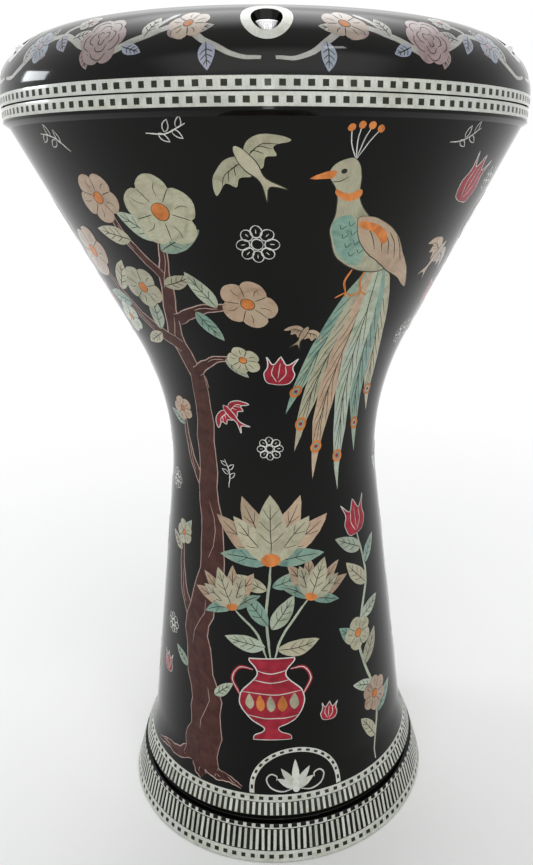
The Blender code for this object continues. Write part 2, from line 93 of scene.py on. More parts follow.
# Bearing edge, collar and flange of the goblet casting
BEARING_RADIUS = 0.1033
COLLAR_WALL = 0.0050
COLLAR_FILLET = 0.0030
FLANGE_THICKNESS = 0.0070

# Rim, bowl, waist and neck
RIM_BEAD = 0.0010
RIM_FLARE = 0.0020
RIM_FLARE_REACH = 0.0029
THROAT = (0.0591, 0.2694)
WAIST_SWEEP = 0.1615
WAIST_STEPS = 48
SIDE_STEPS = 16
NECK_BOTTOM = (0.0860, 0.0476)
WALL = 0.0045

# Where the inside's paint ends: how far in from the rim, and past which share of the foot's wall
RIM_PAINT = 0.0010
FOOT_PAINT = 0.6

# Foot
FOOT_RADIUS = 0.1022
FOOT_UPPER_REACH = 0.0077
FOOT_STEP = 0.0017
GROOVE_HEIGHT = 0.0044
GROOVE_DEPTH = 0.0018
FOOT_WALL = 0.0062

# Clamping ring: shoulder ellipse, band under it, lip and hollow underside
BAND_HEIGHT = 0.0056
SHOULDER_RISE = 0.0295
SHOULDER_REACH = 0.0380
SHOULDER_STEPS = 40
LIP_EDGE = 0.0015
LIP_REACH = 0.0044
GUIDE_SLIDE = 0.0009
RING_INNER_WALL = 0.0042
RING_OUTER_WALL = 0.0047
RING_ROOF = 0.0150

# Film and the channel hoop that holds its skirt
FILM_THICKNESS = 0.0005
FILM_LEAVES = math.radians(35)
FILM_RINGS = 12
HOOP_INNER_WALL = 0.0012
HOOP_OUTER_WALL = 0.0040
HOOP_FLOOR = 0.0020
HOOP_STEP = 0.0041
HOOP_EASE = 0.0004

# Bolts, and what takes them in the ring and the goblet
BOLT_COUNT = 6
BOLT_CIRCLE = 0.1280
SHANK_RADIUS = 0.0030
HOLE_RADIUS = 0.0033
HEAD_RADIUS = 0.0050
HEAD_HEIGHT = 0.0060
HEAD_RINGS = (0.0015, 0.0030, 0.0040)
HEAD_EDGE = 0.0006
HEAD_EDGE_STEPS = 4
HEAD_CHAMFER = 0.0003
BOLT_POINT = 0.0008
SOCKET_ACROSS_FLATS = 0.0050
SOCKET_DEPTH = 0.0030

# Knurls round a bolt's head, from one depth below its top to another
KNURLS = 36
KNURL_DEPTH = 0.00018
KNURL_ENDS = (0.0008, 0.0056)

# Drilled floor of a bolt's socket
DRILL_RADIUS = 0.0022
DRILL_RIM = 0.0001
DRILL_EDGE = 0.0002
DRILL_POINT = 0.0010

# Washers, blind holes, lugs, bosses and counterbores
WASHER_RADIUS = 0.0058
WASHER_EASE = 0.00025
HOLE_PAST_BOLT = 0.0030
BOSS_RADIUS = 0.0095
LUG_RADIUS = 0.0080
LUG_DEPTH = 0.0180
LUG_CHAMFER = 0.0020
COUNTERBORE_RADIUS = 0.0062

# Pearl collars round the counterbores
COLLAR_STRIP = 0.0040
COLLAR_FIT = 0.00005
COLLAR_PROUD = 0.00012
COLLAR_DEPTH = 0.0004
COLLAR_STEPS = 64
COLLAR_RINGS = 6

# Inlay: how deep a piece sits, how far its top stands up, the step between layers, and the lift of a line
SUNK = 0.00012
PROUD = 0.00006
LAYER = 0.000025
LINE_LIFT = 0.000010

# The longest runs of a piece and of a line, and the runs of the ring's skin, so that all follow the curve
PATCH_GRID = 0.0027
LINE_STEP = 0.0015
SKIN_STEPS = 60

# A line's width at its ends, and the share of its length over which it widens
LINE_END = 0.45
LINE_TAPER = 0.2

# What the triangulation is asked for: only the faces inside an outline, and corners this near made one
FACES_INSIDE = 1
MERGE_DISTANCE = 0.000001

# How far a hand strays from a drawn line, and over what length, in millimetres: a slow and a quick drift
SLOW_DRIFT = (1.1, 16.0)
QUICK_DRIFT = (0.3, 4.5)
DRIFT_SEED = 5
noise.seed_set(DRIFT_SEED)

# Lacquer over everything, as thin as its gloss shows
LACQUER_IOR = 1.25

# How fine pearl's grain and paste's mottle are, in patterns to a metre
PEARL_GRAIN = 240.0
PASTE_MOTTLE = 150.0

# Borders: dots, slats and pips, as counts round the drum and sizes across and up
RIM_SQUARES = (156, 0.0026, 0.0025)
FOOT_DOTS = (96, 0.0026, 0.0020)
FOOT_SLATS = (158, 0.0017, 0.0074)
FOOT_PIPS = (108, 0.0022, 0.0021)
LOW_SLATS = (168, 0.0017, 0.0131)
LOW_DOTS = (108, 0.0028, 0.0025)
FOOT_DOT_STRIP = 0.0042
LOW_LINE = 0.0007
LOW_DOT_STRIP = 0.0067

# Single blocks, and the seeds of their shade and lean beside the row's own, and the strips between them
BLOCK_DEPTH = 0.0006
BLOCK_PROUD = 0.00008
BLOCK_SWAY = math.radians(1.6)
BLOCK_UNEVENNESS = 0.08
TONE_SEED = 40.0
SWAY_SEED = 80.0
BAND_DEPTH = 0.0005
BAND_PROUD = 0.00004
BAND_EASE = 0.00005

# Floor: its radius, and the distances from the drum between which it turns to plain white
FLOOR_RADIUS = 8.0
FLOOR_NEAR = 0.25
FLOOR_FAR = 0.80

# Arch above the foot
ARCH_TURN = math.radians(-83.5)
ARCH_RADIUS = 0.0290
ARCH_STRIP = 0.0030
ARCH_LEG = 0.0012
ARCH_STEPS = 40
ARCH_DOTS = 16
ARCH_DOT_SPAN = (0.0025, 0.0015)


def high_low(node):
    """Top and bottom of a CAD node."""
    low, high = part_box(node)
    return high.z, low.z


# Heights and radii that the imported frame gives
RING_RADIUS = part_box("tension_ring")[1].x
RING_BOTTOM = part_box("tension_ring")[0].z
BEARING_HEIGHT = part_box("shell")[1].z
RIM_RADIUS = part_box("rim_border")[1].x
FLANGE_HEIGHT, RIM_STRIP_BOTTOM = high_low("rim_border")
RING_STRIP_TOP, RING_STRIP_BOTTOM = high_low("ring_border")
UPPER_STRIP_TOP, GROOVE_TOP = high_low("foot_upper_border")
LOWER_STRIP_TOP, LOWER_STRIP_BOTTOM = high_low("foot_lower_border")
HOOP_TOP, HOOP_BOTTOM = high_low("head_hoop")
HOOP_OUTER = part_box("head_hoop")[1].x
FILM_TOP, SKIRT_END = high_low("drum_head")
SKIRT_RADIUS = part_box("drum_head")[1].x
HEAD_TOP, BOLT_TIP = high_low("tension_bolt_1")
WASHER_TOP, WASHER_BOTTOM = high_low("bolt_washer_1")

SHOULDER_FOOT = RING_BOTTOM + BAND_HEIGHT
SHOULDER_CENTRE = RING_RADIUS - SHOULDER_REACH
RING_BORE = HOOP_OUTER - LIP_REACH
RING_GUIDE = HOOP_OUTER + GUIDE_SLIDE
LIP_UNDERSIDE = HOOP_TOP + SEAT_GAP
BEAD_BOTTOM = RIM_STRIP_BOTTOM - SEAT_GAP - RIM_BEAD
BOWL_TOP = (RIM_RADIUS - RIM_FLARE_REACH, BEAD_BOTTOM - RIM_FLARE)
GROOVE_BOTTOM = GROOVE_TOP - GROOVE_HEIGHT
UPPER_FOOT = (NECK_BOTTOM[0] + FOOT_UPPER_REACH, GROOVE_TOP)
LOWER_FOOT = (UPPER_FOOT[0] + FOOT_STEP, GROOVE_BOTTOM)


# Outlines, as (radius, height) points


def arc(centre, radius, first, last, steps=ARC_STEPS):
    """Points along an arc, from one angle to another, both ends included."""
    angles = [first + (last - first) * i / steps for i in range(steps + 1)]
    return [(centre[0] + radius * math.cos(a), centre[1] + radius * math.sin(a)) for a in angles]


def fillet(start, corner, end, radius, steps):
    """Points of the arc that rounds the corner between two straight runs."""
    corner = Vector(corner)
    back = (Vector(start) - corner).normalized()
    ahead = (Vector(end) - corner).normalized()
    half = back.angle(ahead) / 2
    centre = corner + (back + ahead).normalized() * (radius / math.sin(half))
    reach = radius / math.tan(half)
    spoke = corner + back * reach - centre
    first = math.atan2(spoke.y, spoke.x)
    spoke = corner + ahead * reach - centre
    sweep = math.remainder(math.atan2(spoke.y, spoke.x) - first, 2 * math.pi)
    return arc(centre, radius, first, first + sweep, steps)


def eased(outline, radius=EASE, closed=True):
    """The outline with its corners rounded by a small radius, as thick lacquer does."""
    count = len(outline)
    made = []
    for i, point in enumerate(outline):
        before, after = Vector(outline[i - 1]), Vector(outline[(i + 1) % count])
        here = Vector(point)
        if not closed and i in (0, count - 1):
            made.append(point)
            continue
        turn = (here - before).angle(after - here, 0.0)
        room = EASE_SHARE * min((here - before).length, (after - here).length)
        if turn < EASE_TURN or room < LEAST_EASE:
            made.append(point)
            continue
        fitted = min(radius, room / math.tan(turn / 2))
        made.extend(fillet(before, here, after, fitted, EASE_STEPS))
    return made


def crossing(a, b, c, d):
    """Point where the line through a and b meets the line through c and d."""
    run, other = Vector(b) - Vector(a), Vector(d) - Vector(c)
    gap = Vector(c) - Vector(a)
    share = (gap.x * other.y - gap.y * other.x) / (run.x * other.y - run.y * other.x)
    return tuple(Vector(a) + run * share)


def on_line(a, b, height):
    """Point of a straight side at a height."""
    share = (height - a[1]) / (b[1] - a[1])
    return (a[0] + (b[0] - a[0]) * share, height)


def inset_line(a, b, depth):
    """A side that runs downwards, moved inwards, square to itself."""
    run = (Vector(b) - Vector(a)).normalized()
    shift = Vector((run.y, -run.x)) * depth
    return tuple(Vector(a) + shift), tuple(Vector(b) + shift)


def divided(a, b, steps):
    """Points along a straight run, without its last one."""
    return [tuple(Vector(a).lerp(Vector(b), i / steps)) for i in range(steps)]


def refined(path, step):
    """The path with points added, so that no run of it is longer than a step."""
    made = []
    for a, b in zip(path, path[1:]):
        made.extend(divided(a, b, math.ceil((Vector(b) - Vector(a)).length / step) or 1))
    return [*made, path[-1]]


def goblet_side(depth=0.0):
    """The goblet's bowl, waist and neck, from top to bottom, at a depth below the surface."""
    bowl = inset_line(BOWL_TOP, THROAT, depth)
    neck = inset_line(THROAT, NECK_BOTTOM, depth)
    corner = crossing(*bowl, *neck)
    waist = fillet(bowl[0], corner, neck[1], WAIST_SWEEP + depth, WAIST_STEPS)
    return [*divided(bowl[0], waist[0], SIDE_STEPS), *waist[:-1],
            *divided(waist[-1], neck[1], SIDE_STEPS), neck[1]]


def upper_foot(height):
    """Point on the foot's upper face."""
    return on_line(NECK_BOTTOM, UPPER_FOOT, height)


def lower_foot(height):
    """Point on the foot's lower face."""
    return on_line(LOWER_FOOT, (FOOT_RADIUS, 0.0), height)


def shoulder(inner_radius, steps=SHOULDER_STEPS):
    """The ring's shoulder, from the inside down to the band."""
    first = math.acos((inner_radius - SHOULDER_CENTRE) / SHOULDER_REACH)
    angles = [first * (1 - i / steps) for i in range(steps + 1)]
    return [(SHOULDER_CENTRE + SHOULDER_REACH * math.cos(a),
             SHOULDER_FOOT + SHOULDER_RISE * math.sin(a)) for a in angles]


# Meshes


def mesh_object(name, mesh):
    """Put a mesh in the scene as an object at the origin."""
    obj = bpy.data.objects.new(name, mesh)
    bpy.context.scene.collection.objects.link(obj)
    return obj


def turned_mesh(name, outline, steps=DRUM_STEPS, closed=True):
    """Outline turned round Z. An open outline starts and ends on the axis."""
    verts, faces = [], []
    rows = []
    for r, z in outline:
        if r < TINY:
            rows.append([len(verts)] * steps)
            verts.append((0.0, 0.0, z))
            continue
        rows.append(list(range(len(verts), len(verts) + steps)))
        verts.extend((r * math.cos(2 * math.pi * i / steps), r * math.sin(2 * math.pi * i / steps), z)
                     for i in range(steps))
    last = len(rows) if closed else len(rows) - 1
    for k in range(last):
        upper, lower = rows[k], rows[(k + 1) % len(rows)]
        for i in range(steps):
            j = (i + 1) % steps
            corners = [upper[i], lower[i], lower[j], upper[j]]
            faces.append([c for n, c in enumerate(corners) if c != corners[n - 1]])
    mesh = bpy.data.meshes.new(name)
    mesh.from_pydata(verts, [], faces)
    return outwards(mesh)


def outwards(mesh):
    """Turn a closed mesh's faces outwards."""
    made = bmesh.new()
    made.from_mesh(mesh)
    bmesh.ops.recalc_face_normals(made, faces=made.faces)
    if made.calc_volume(signed=True) < 0:
        bmesh.ops.reverse_faces(made, faces=made.faces)
    made.to_mesh(mesh)
    made.free()
    return mesh


def shaded(mesh, angle=SHARP_ANGLE):
    """Round faces smooth, corners sharp."""
    mesh.shade_smooth()
    mesh.set_sharp_from_angle(angle=angle)
    return mesh


def settled(obj):
    """Swap an object's modifiers for their result."""
    bpy.context.view_layer.update()
    graph = bpy.context.evaluated_depsgraph_get()
    mesh = bpy.data.meshes.new_from_object(obj.evaluated_get(graph))
    obj.modifiers.clear()
    obj.data = mesh
    return obj


def carved(blank, *cuts):
    """A mesh with other meshes, given as (operation, mesh), cut from it, joined to it or trimming it."""
    piece = mesh_object("blank", blank)
    tools = []
    for operation, mesh in cuts:
        tool = mesh_object("tool", mesh)
        tools.append(tool)
        made = piece.modifiers.new(operation, "BOOLEAN")
        made.operation = operation
        made.solver = "EXACT"
        made.object = tool
    carving = settled(piece).data
    for obj in (piece, *tools):
        bpy.data.objects.remove(obj, do_unlink=True)
    return carving


def around_bolts(mesh):
    """A mesh made at the axis, copied to each bolt."""
    made = bmesh.new()
    for index in range(BOLT_COUNT):
        before = len(made.verts)
        made.from_mesh(mesh)
        made.verts.ensure_lookup_table()
        bmesh.ops.transform(made, matrix=at_bolt(index), verts=made.verts[before:])
    joined = bpy.data.meshes.new(mesh.name)
    made.to_mesh(joined)
    made.free()
    return joined


def at_bolt(index):
    """Move from the drum's axis to a bolt's axis."""
    turn = FRONT + 2 * math.pi * index / BOLT_COUNT
    return Matrix.Rotation(turn, 4, "Z") @ Matrix.Translation((BOLT_CIRCLE, 0, 0))


def rod(name, outline):
    """A mesh turned round the axis from an open outline, moved by half a facet."""
    mesh = turned_mesh(name, outline, BOLT_STEPS, closed=False)
    mesh.transform(Matrix.Rotation(math.pi / BOLT_STEPS, 4, "Z"))
    return mesh


def pin(name, radius, top, bottom):
    """A plain rod between two heights."""
    return rod(name, [(0.0, top), (radius, top), (radius, bottom), (0.0, bottom)])


def finished(obj, body, finishes, slot, *nodes):
    """Give a piece its finishes, its body and the CAD nodes that it stands for. The slot argument is not
    used.
    """
    if not obj.data.materials:
        for finish in finishes:
            obj.data.materials.append(finish)
    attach(obj, body)
    if nodes:
        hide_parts(*nodes)
    return obj


# Finishes


class Nodes:
    """A node tree in the making."""

    def __init__(self, tree):
        self.tree = tree

    def add(self, kind, settings=None, **inputs):
        """Add a node, set it up and link or set its inputs, by name, or by number as in _0."""
        node = self.tree.nodes.new(kind)
        for key, value in (settings or {}).items():
            setattr(node, key, value)
        for key, value in inputs.items():
            socket = int(key[1:]) if key[0] == "_" else key.replace("_", " ")
            self.feed(node.inputs[socket], value)
        return node

    def feed(self, socket, value):
        """Link an output to a socket, or set its value."""
        if isinstance(value, bpy.types.NodeSocket):
            self.tree.links.new(value, socket)
        else:
            socket.default_value = value

    def math(self, operation, one, other=0.0):
        """Arithmetic on one value or two."""
        return self.add("ShaderNodeMath", {"operation": operation}, _0=one, _1=other).outputs[0]

    def watched(self):
        """1 for the eye, for reflections and for sight through the film, and 0 for falling light."""
        rays = self.add("ShaderNodeLightPath").outputs
        seen = self.math("MAXIMUM", rays["Is Camera Ray"], rays["Is Glossy Ray"])
        return self.math("MAXIMUM", seen, rays["Is Transmission Ray"])


class Finish(Nodes):
    """A finish in the making: a node tree round one Principled shader, read by Object coordinates."""

    def __init__(self, name, **plain):
        self.material = bpy.data.materials.new(name)
        self.material.use_nodes = True
        super().__init__(self.material.node_tree)
        self.shader = self.tree.nodes["Principled BSDF"]
        for socket, value in plain.items():
            self.shader.inputs[socket.replace("_", " ")].default_value = value
        self.place = self.add("ShaderNodeTexCoord").outputs["Object"]

    def shade(self):
        """The shade that each cut piece has of its own, from -1 to 1, and 0 where it has none."""
        return self.add("ShaderNodeAttribute", {"attribute_name": "shade"}).outputs["Fac"]

    def stretched(self, scale):
        """Object coordinates, stretched."""
        return self.add("ShaderNodeMapping", Vector=self.place, Scale=scale).outputs["Vector"]

    def noise(self, scale, detail=3.0, distortion=0.0, place=None):
        """Cloudy pattern, from 0 to 1."""
        node = self.add("ShaderNodeTexNoise", Vector=place or self.place, Scale=scale,
                        Detail=detail, Distortion=distortion)
        return node.outputs["Fac"]

    def cells(self, scale):
        """Distances in a pattern of cells."""
        return self.add("ShaderNodeTexVoronoi", Vector=self.place, Scale=scale).outputs["Distance"]

    def waves(self, scale, distortion):
        """Bands, like growth lines."""
        node = self.add("ShaderNodeTexWave", Vector=self.place, Scale=scale, Distortion=distortion,
                        Detail=2.0)
        return node.outputs["Fac"]

    def spread(self, factor, low, high, first=0.0, last=1.0):
        """Map a pattern onto a range of values."""
        node = self.add("ShaderNodeMapRange", Value=factor, From_Min=first, From_Max=last, To_Min=low,
                        To_Max=high)
        return node.outputs["Result"]

    def ramp(self, factor, *stops):
        """Colour from a pattern, by (place, colour) stops."""
        node = self.add("ShaderNodeValToRGB", Fac=factor)
        marks = node.color_ramp.elements
        while len(marks) < len(stops):
            marks.new(0.5)
        for mark, (place, colour) in zip(marks, stops):
            mark.position = place
            mark.color = (*colour, 1.0)
        return node.outputs["Color"]

    def blend(self, factor, one, other, mode="MIX"):
        """Blend two colours."""
        settings = {"data_type": "RGBA", "blend_type": mode}
        return self.add("ShaderNodeMix", settings, _0=factor, _6=one, _7=other).outputs[2]

    def relief(self, height, strength, distance):
        """Bump from a pattern."""
        node = self.add("ShaderNodeBump", Height=height, Strength=strength, Distance=distance)
        self.feed(self.shader.inputs["Normal"], node.outputs["Normal"])

    def set(self, **inputs):
        """Link or set the shader's inputs, and hand over the material."""
        for socket, value in inputs.items():
            self.feed(self.shader.inputs[socket.replace("_", " ")], value)
        return self.material


def black_lacquer():
    """Thick polished black lacquer: near black, wavy as a flowed coat, with faint handling haze."""
    make = Finish("black_lacquer", IOR=LACQUER_IOR)
    tone = make.ramp(make.noise(9.0), (0.30, (0.0010, 0.0013, 0.0012)), (0.70, (0.0032, 0.0028, 0.0021)))
    haze = make.spread(make.noise(38.0, 4.0), 0.04, 0.10, 0.35, 0.75)
    make.relief(make.noise(60.0, 1.0), 0.08, 0.0006)
    return make.set(Base_Color=tone, Roughness=haze)


def pearl(name, dark, light, flush):
    """Mother-of-pearl under clear lacquer: clouded, with growth lines and pores, and patches of its flush
    tint as painted sheen.

    A piece's own shade turns its growth lines, moves its clouds and changes its tone.
    """
    make = Finish(name, IOR=1.4, Coat_Weight=1.0, Coat_Roughness=0.07, Coat_IOR=LACQUER_IOR)
    shade = make.shade()
    turned = make.add("ShaderNodeVectorRotate", Vector=make.place, Axis=(0.6, 0.6, 0.5),
                      Angle=make.math("MULTIPLY", shade, math.pi))
    make.place = turned.outputs["Vector"]
    cloud = make.noise(PEARL_GRAIN * 0.5, 4.0, 1.2)
    body = make.ramp(cloud, (0.30, dark), (0.52, tuple((d + 2 * l) / 3 for d, l in zip(dark, light))),
                     (0.74, light))
    # Painted sheen: slow patches of the flush tint stand in for the iridescent sheen of nacre
    painted_sheen = make.spread(make.noise(PEARL_GRAIN * 0.16, 2.0, 0.6), 0.0, 0.75, 0.42, 0.68)
    body = make.blend(painted_sheen, body, (*flush, 1.0))
    growth = make.waves(PEARL_GRAIN * 0.7, 9.0)
    body = make.blend(make.spread(growth, 0.0, 0.20), body, (*dark, 1.0))
    pores = make.spread(make.cells(PEARL_GRAIN * 3.2), 0.45, 0.0, 0.04, 0.26)
    body = make.blend(pores, body, (*(c * 0.55 for c in dark), 1.0))
    body = make.blend(1.0, body, make.spread(shade, 0.84, 1.16, -1.0, 1.0), "MULTIPLY")
    make.relief(growth, 0.10, 0.0002)
    gloss = make.spread(cloud, 0.22, 0.42)
    return make.set(Base_Color=body, Roughness=gloss)


def paste(name, dark, light):
    """Tinted filler under clear lacquer, slightly uneven."""
    make = Finish(name, IOR=LACQUER_IOR, Roughness=0.07)
    tone = make.ramp(make.noise(PASTE_MOTTLE, 4.0, 0.8), (0.30, dark), (0.72, light))
    specks = make.spread(make.cells(PASTE_MOTTLE * 5.0), 0.35, 0.0, 0.05, 0.30)
    tone = make.blend(specks, tone, (*(c * 0.5 for c in dark), 1.0))
    tone = make.blend(1.0, tone, make.spread(make.shade(), 0.86, 1.14, -1.0, 1.0), "MULTIPLY")
    return make.set(Base_Color=tone)


def dark_casting():
    """Inside of the casting: sand-cast skin under a thin dark paint."""
    make = Finish("painted_casting")
    grit = make.noise(900.0, 5.0)
    tone = make.ramp(make.noise(45.0, 4.0), (0.30, (0.020, 0.021, 0.021)), (0.75, (0.050, 0.050, 0.048)))
    rough = make.spread(grit, 0.55, 0.80)
    make.relief(grit, 0.35, 0.0004)
    return make.set(Base_Color=tone, Roughness=rough)


def clear_film():
    """Head film: milky polyester, satin, with a faint cloud and fine handling marks."""
    make = Finish("milky_film", Subsurface_Weight=0.25, Subsurface_Scale=0.004, Coat_Weight=0.15,
                  Coat_Roughness=0.2)
    make.shader.inputs["Subsurface Radius"].default_value = (1.0, 1.0, 1.0)
    tone = make.ramp(make.noise(14.0, 4.0), (0.30, (0.70, 0.71, 0.68)), (0.75, (0.80, 0.80, 0.77)))
    marks = make.noise(500.0, 2.0, 0.0, make.stretched((1.0, 0.12, 1.0)))
    rough = make.spread(marks, 0.30, 0.50)
    make.relief(make.noise(1400.0, 2.0), 0.12, 0.0001)
    return make.set(Base_Color=tone, Roughness=rough)


def bright_metal(name, dark, light, low, high):
    """Turned or plated metal, with fine tool marks."""
    make = Finish(name, Metallic=1.0)
    marks = make.noise(1500.0, 3.0, 0.0, make.stretched((1.0, 1.0, 8.0)))
    cloud = make.noise(160.0, 3.0)
    tone = make.ramp(cloud, (0.30, dark), (0.70, light))
    rough = make.spread(marks, low, high, 0.3, 0.7)
    make.relief(marks, 0.08, 0.0001)
    return make.set(Base_Color=tone, Roughness=rough)


LACQUER = black_lacquer()
CASTING = dark_casting()
FILM = clear_film()
ALLOY = bright_metal("satin_alloy", (0.55, 0.56, 0.57), (0.70, 0.70, 0.71), 0.28, 0.45)
STEEL = bright_metal("plated_steel", (0.62, 0.62, 0.63), (0.80, 0.80, 0.81), 0.16, 0.32)
WHITE_PEARL = pearl("white_pearl", (0.37, 0.38, 0.32), (0.58, 0.59, 0.52), (0.51, 0.53, 0.51))
CREAM_PEARL = pearl("cream_pearl", (0.22, 0.215, 0.135), (0.40, 0.39, 0.27), (0.37, 0.33, 0.235))
GREEN_PEARL = pearl("green_pearl", (0.21, 0.25, 0.17), (0.38, 0.42, 0.32), (0.30, 0.36, 0.31))
PEACH_PEARL = pearl("peach_pearl", (0.26, 0.165, 0.10), (0.42, 0.30, 0.205), (0.37, 0.30, 0.20))
GREY_PEARL = pearl("grey_pearl", (0.17, 0.17, 0.145), (0.32, 0.32, 0.28), (0.25, 0.24, 0.24))
ROSE_PEARL = pearl("rose_pearl", (0.14, 0.085, 0.090), (0.27, 0.185, 0.190), (0.25, 0.20, 0.18))
SKY_PEARL = pearl("sky_pearl", (0.13, 0.155, 0.20), (0.25, 0.29, 0.35), (0.20, 0.19, 0.25))
DUSTY_PEARL = pearl("dusty_pearl", (0.20, 0.145, 0.11), (0.36, 0.27, 0.21), (0.30, 0.26, 0.20))
TEAL = pearl("teal_pearl", (0.07, 0.15, 0.12), (0.18, 0.30, 0.24), (0.26, 0.32, 0.22))
ORANGE = paste("orange_paste", (0.36, 0.11, 0.025), (0.62, 0.22, 0.060))
CRIMSON = paste("crimson_paste", (0.20, 0.010, 0.020), (0.36, 0.022, 0.042))
BARK = paste("bark_paste", (0.034, 0.011, 0.009), (0.068, 0.025, 0.019))
WHITE_LINE = paste("white_line", (0.42, 0.43, 0.40), (0.62, 0.62, 0.58))
BLUSH_LINE = paste("blush_line", (0.30, 0.20, 0.17), (0.44, 0.32, 0.28))
ENGRAVING = paste("engraving", (0.014, 0.016, 0.010), (0.035, 0.036, 0.022))


# Castings


def make_goblet():
    """Goblet casting, with its lugs and blind holes."""
    crown = arc((BEARING_RADIUS, BEARING_HEIGHT - COLLAR_WALL / 2), COLLAR_WALL / 2, math.pi, 0.0)
    collar_outer = BEARING_RADIUS + COLLAR_WALL / 2
    collar_inner = BEARING_RADIUS - COLLAR_WALL / 2
    collar_foot = fillet((collar_outer, BEARING_HEIGHT), (collar_outer, FLANGE_HEIGHT),
                         (RIM_RADIUS, FLANGE_HEIGHT), COLLAR_FILLET, ARC_STEPS)
    rim = eased([
        collar_foot[-1],
        (RIM_RADIUS, FLANGE_HEIGHT),
        (RIM_RADIUS, BEAD_BOTTOM),
        BOWL_TOP,
        goblet_side()[1],
    ], closed=False)[1:-1]
    foot = eased([
        NECK_BOTTOM,
        upper_foot(GROOVE_TOP),
        (UPPER_FOOT[0] - GROOVE_DEPTH, GROOVE_TOP),
        (UPPER_FOOT[0] - GROOVE_DEPTH, GROOVE_BOTTOM),
        LOWER_FOOT,
        (FOOT_RADIUS, 0.0),
        (FOOT_RADIUS - FOOT_WALL, 0.0),
        goblet_side(WALL)[-1],
    ], closed=False)[1:-1]
    inside = goblet_side(WALL)[::-1]
    underside = FLANGE_HEIGHT - FLANGE_THICKNESS
    inside[-1] = on_line(inside[-2], inside[-1], underside)
    ceiling = [(collar_inner + COLLAR_FILLET, underside), (collar_inner, underside + COLLAR_FILLET)]
    blank = turned_mesh("goblet_casting", [*crown, *collar_foot, *rim, *goblet_side()[1:], *foot, *inside,
                                           *ceiling])
    hole = pin("hole", HOLE_RADIUS, FLANGE_HEIGHT + CUT_ROOM, BOLT_TIP - HOLE_PAST_BOLT)
    mesh = carved(blank, ("UNION", lug_mesh(collar_inner)), ("DIFFERENCE", around_bolts(hole)))
    paint_inside(mesh)
    goblet = mesh_object("goblet_casting", shaded(mesh))
    finished(goblet, "goblet", [LACQUER, CASTING], "lacquered_casting", "shell")


def lug_mesh(inner_radius):
    """The lugs that take the bolts, trimmed to the inside of the bowl."""
    middle, bottom = FLANGE_HEIGHT - FLANGE_THICKNESS / 2, FLANGE_HEIGHT - LUG_DEPTH
    lug = rod("lug", [(0.0, middle), (LUG_RADIUS, middle), (LUG_RADIUS, bottom + LUG_CHAMFER),
                      (LUG_RADIUS - LUG_CHAMFER, bottom), (0.0, bottom)])
    within = inset_line(BOWL_TOP, THROAT, WALL / 2)
    top, low = on_line(*within, FLANGE_HEIGHT), on_line(*within, bottom - CUT_ROOM)
    room = turned_mesh("room", [top, low, (inner_radius, low[1]), (inner_radius, top[1])])
    return carved(around_bolts(lug), ("INTERSECT", room))


def paint_inside(mesh):
    """Give the second finish to the faces that lie under the outer surface."""
    side = goblet_side(WALL / 2)[::-1]
    foot = side[0], (FOOT_RADIUS - FOOT_PAINT * FOOT_WALL, 0.0)
    for face in mesh.polygons:
        height = face.center.z
        if height >= BEAD_BOTTOM:
            wall = RIM_RADIUS - RIM_PAINT
        elif height > side[0][1]:
            wall = radius_at(side, height)
        else:
            wall = on_line(*foot, height)[0]
        face.material_index = 1 if math.hypot(face.center.x, face.center.y) < wall else 0


def radius_at(side, height):
    """Radius of an outline that climbs, at a height."""
    for below, above in zip(side, side[1:]):
        if above[1] >= height:
            return on_line(below, above, height)[0]
    return side[-1][0]


def make_clamp_ring():
    """Clamping ring: lip, shoulder with counterbores, hollow underside with bosses."""
    lip_top = shoulder(RING_BORE + LIP_EDGE)[0][1]
    lip = arc((RING_BORE + LIP_EDGE, lip_top - LIP_EDGE), LIP_EDGE, math.pi, math.pi / 2)
    below = eased([
        shoulder(RING_BORE + LIP_EDGE)[-1],
        (RING_RADIUS, RING_BOTTOM),
        (RING_GUIDE, RING_BOTTOM),
        (RING_GUIDE, LIP_UNDERSIDE),
        (RING_BORE, LIP_UNDERSIDE),
        lip[0],
    ], closed=False)[1:-1]
    blank = turned_mesh("clamp_ring_casting", [*lip, *shoulder(RING_BORE + LIP_EDGE)[1:], *below])
    roof, under = RING_BOTTOM + RING_ROOF, RING_BOTTOM - CUT_ROOM
    inner, outer = RING_GUIDE + RING_INNER_WALL, RING_RADIUS - RING_OUTER_WALL
    boss = pin("boss", BOSS_RADIUS, roof + CUT_ROOM, under - CUT_ROOM)
    hollow = carved(turned_mesh("hollow", [(inner, roof), (outer, roof), (outer, under), (inner, under)]),
                    ("DIFFERENCE", around_bolts(boss)))
    floor = WASHER_BOTTOM - SEAT_GAP
    above = lip_top + CUT_ROOM
    bore = rod("bore", [(0.0, above), (COUNTERBORE_RADIUS, above), (COUNTERBORE_RADIUS, floor),
                        (HOLE_RADIUS, floor), (HOLE_RADIUS, under), (0.0, under)])
    mesh = carved(blank, ("DIFFERENCE", hollow), ("DIFFERENCE", around_bolts(bore)))
    for face in mesh.polygons:
        radius, height = math.hypot(face.center.x, face.center.y), face.center.z
        in_hollow = inner - TOUCH < radius < outer + TOUCH and height < roof + TOUCH
        under_lip = radius < RING_GUIDE + TOUCH and height < LIP_UNDERSIDE + TOUCH
        face.material_index = 1 if in_hollow or under_lip else 0
    ring = mesh_object("clamp_ring_casting", shaded(mesh))
    finished(ring, "clamp_ring", [LACQUER, CASTING], "lacquered_casting", "tension_ring")


# Head and bolts


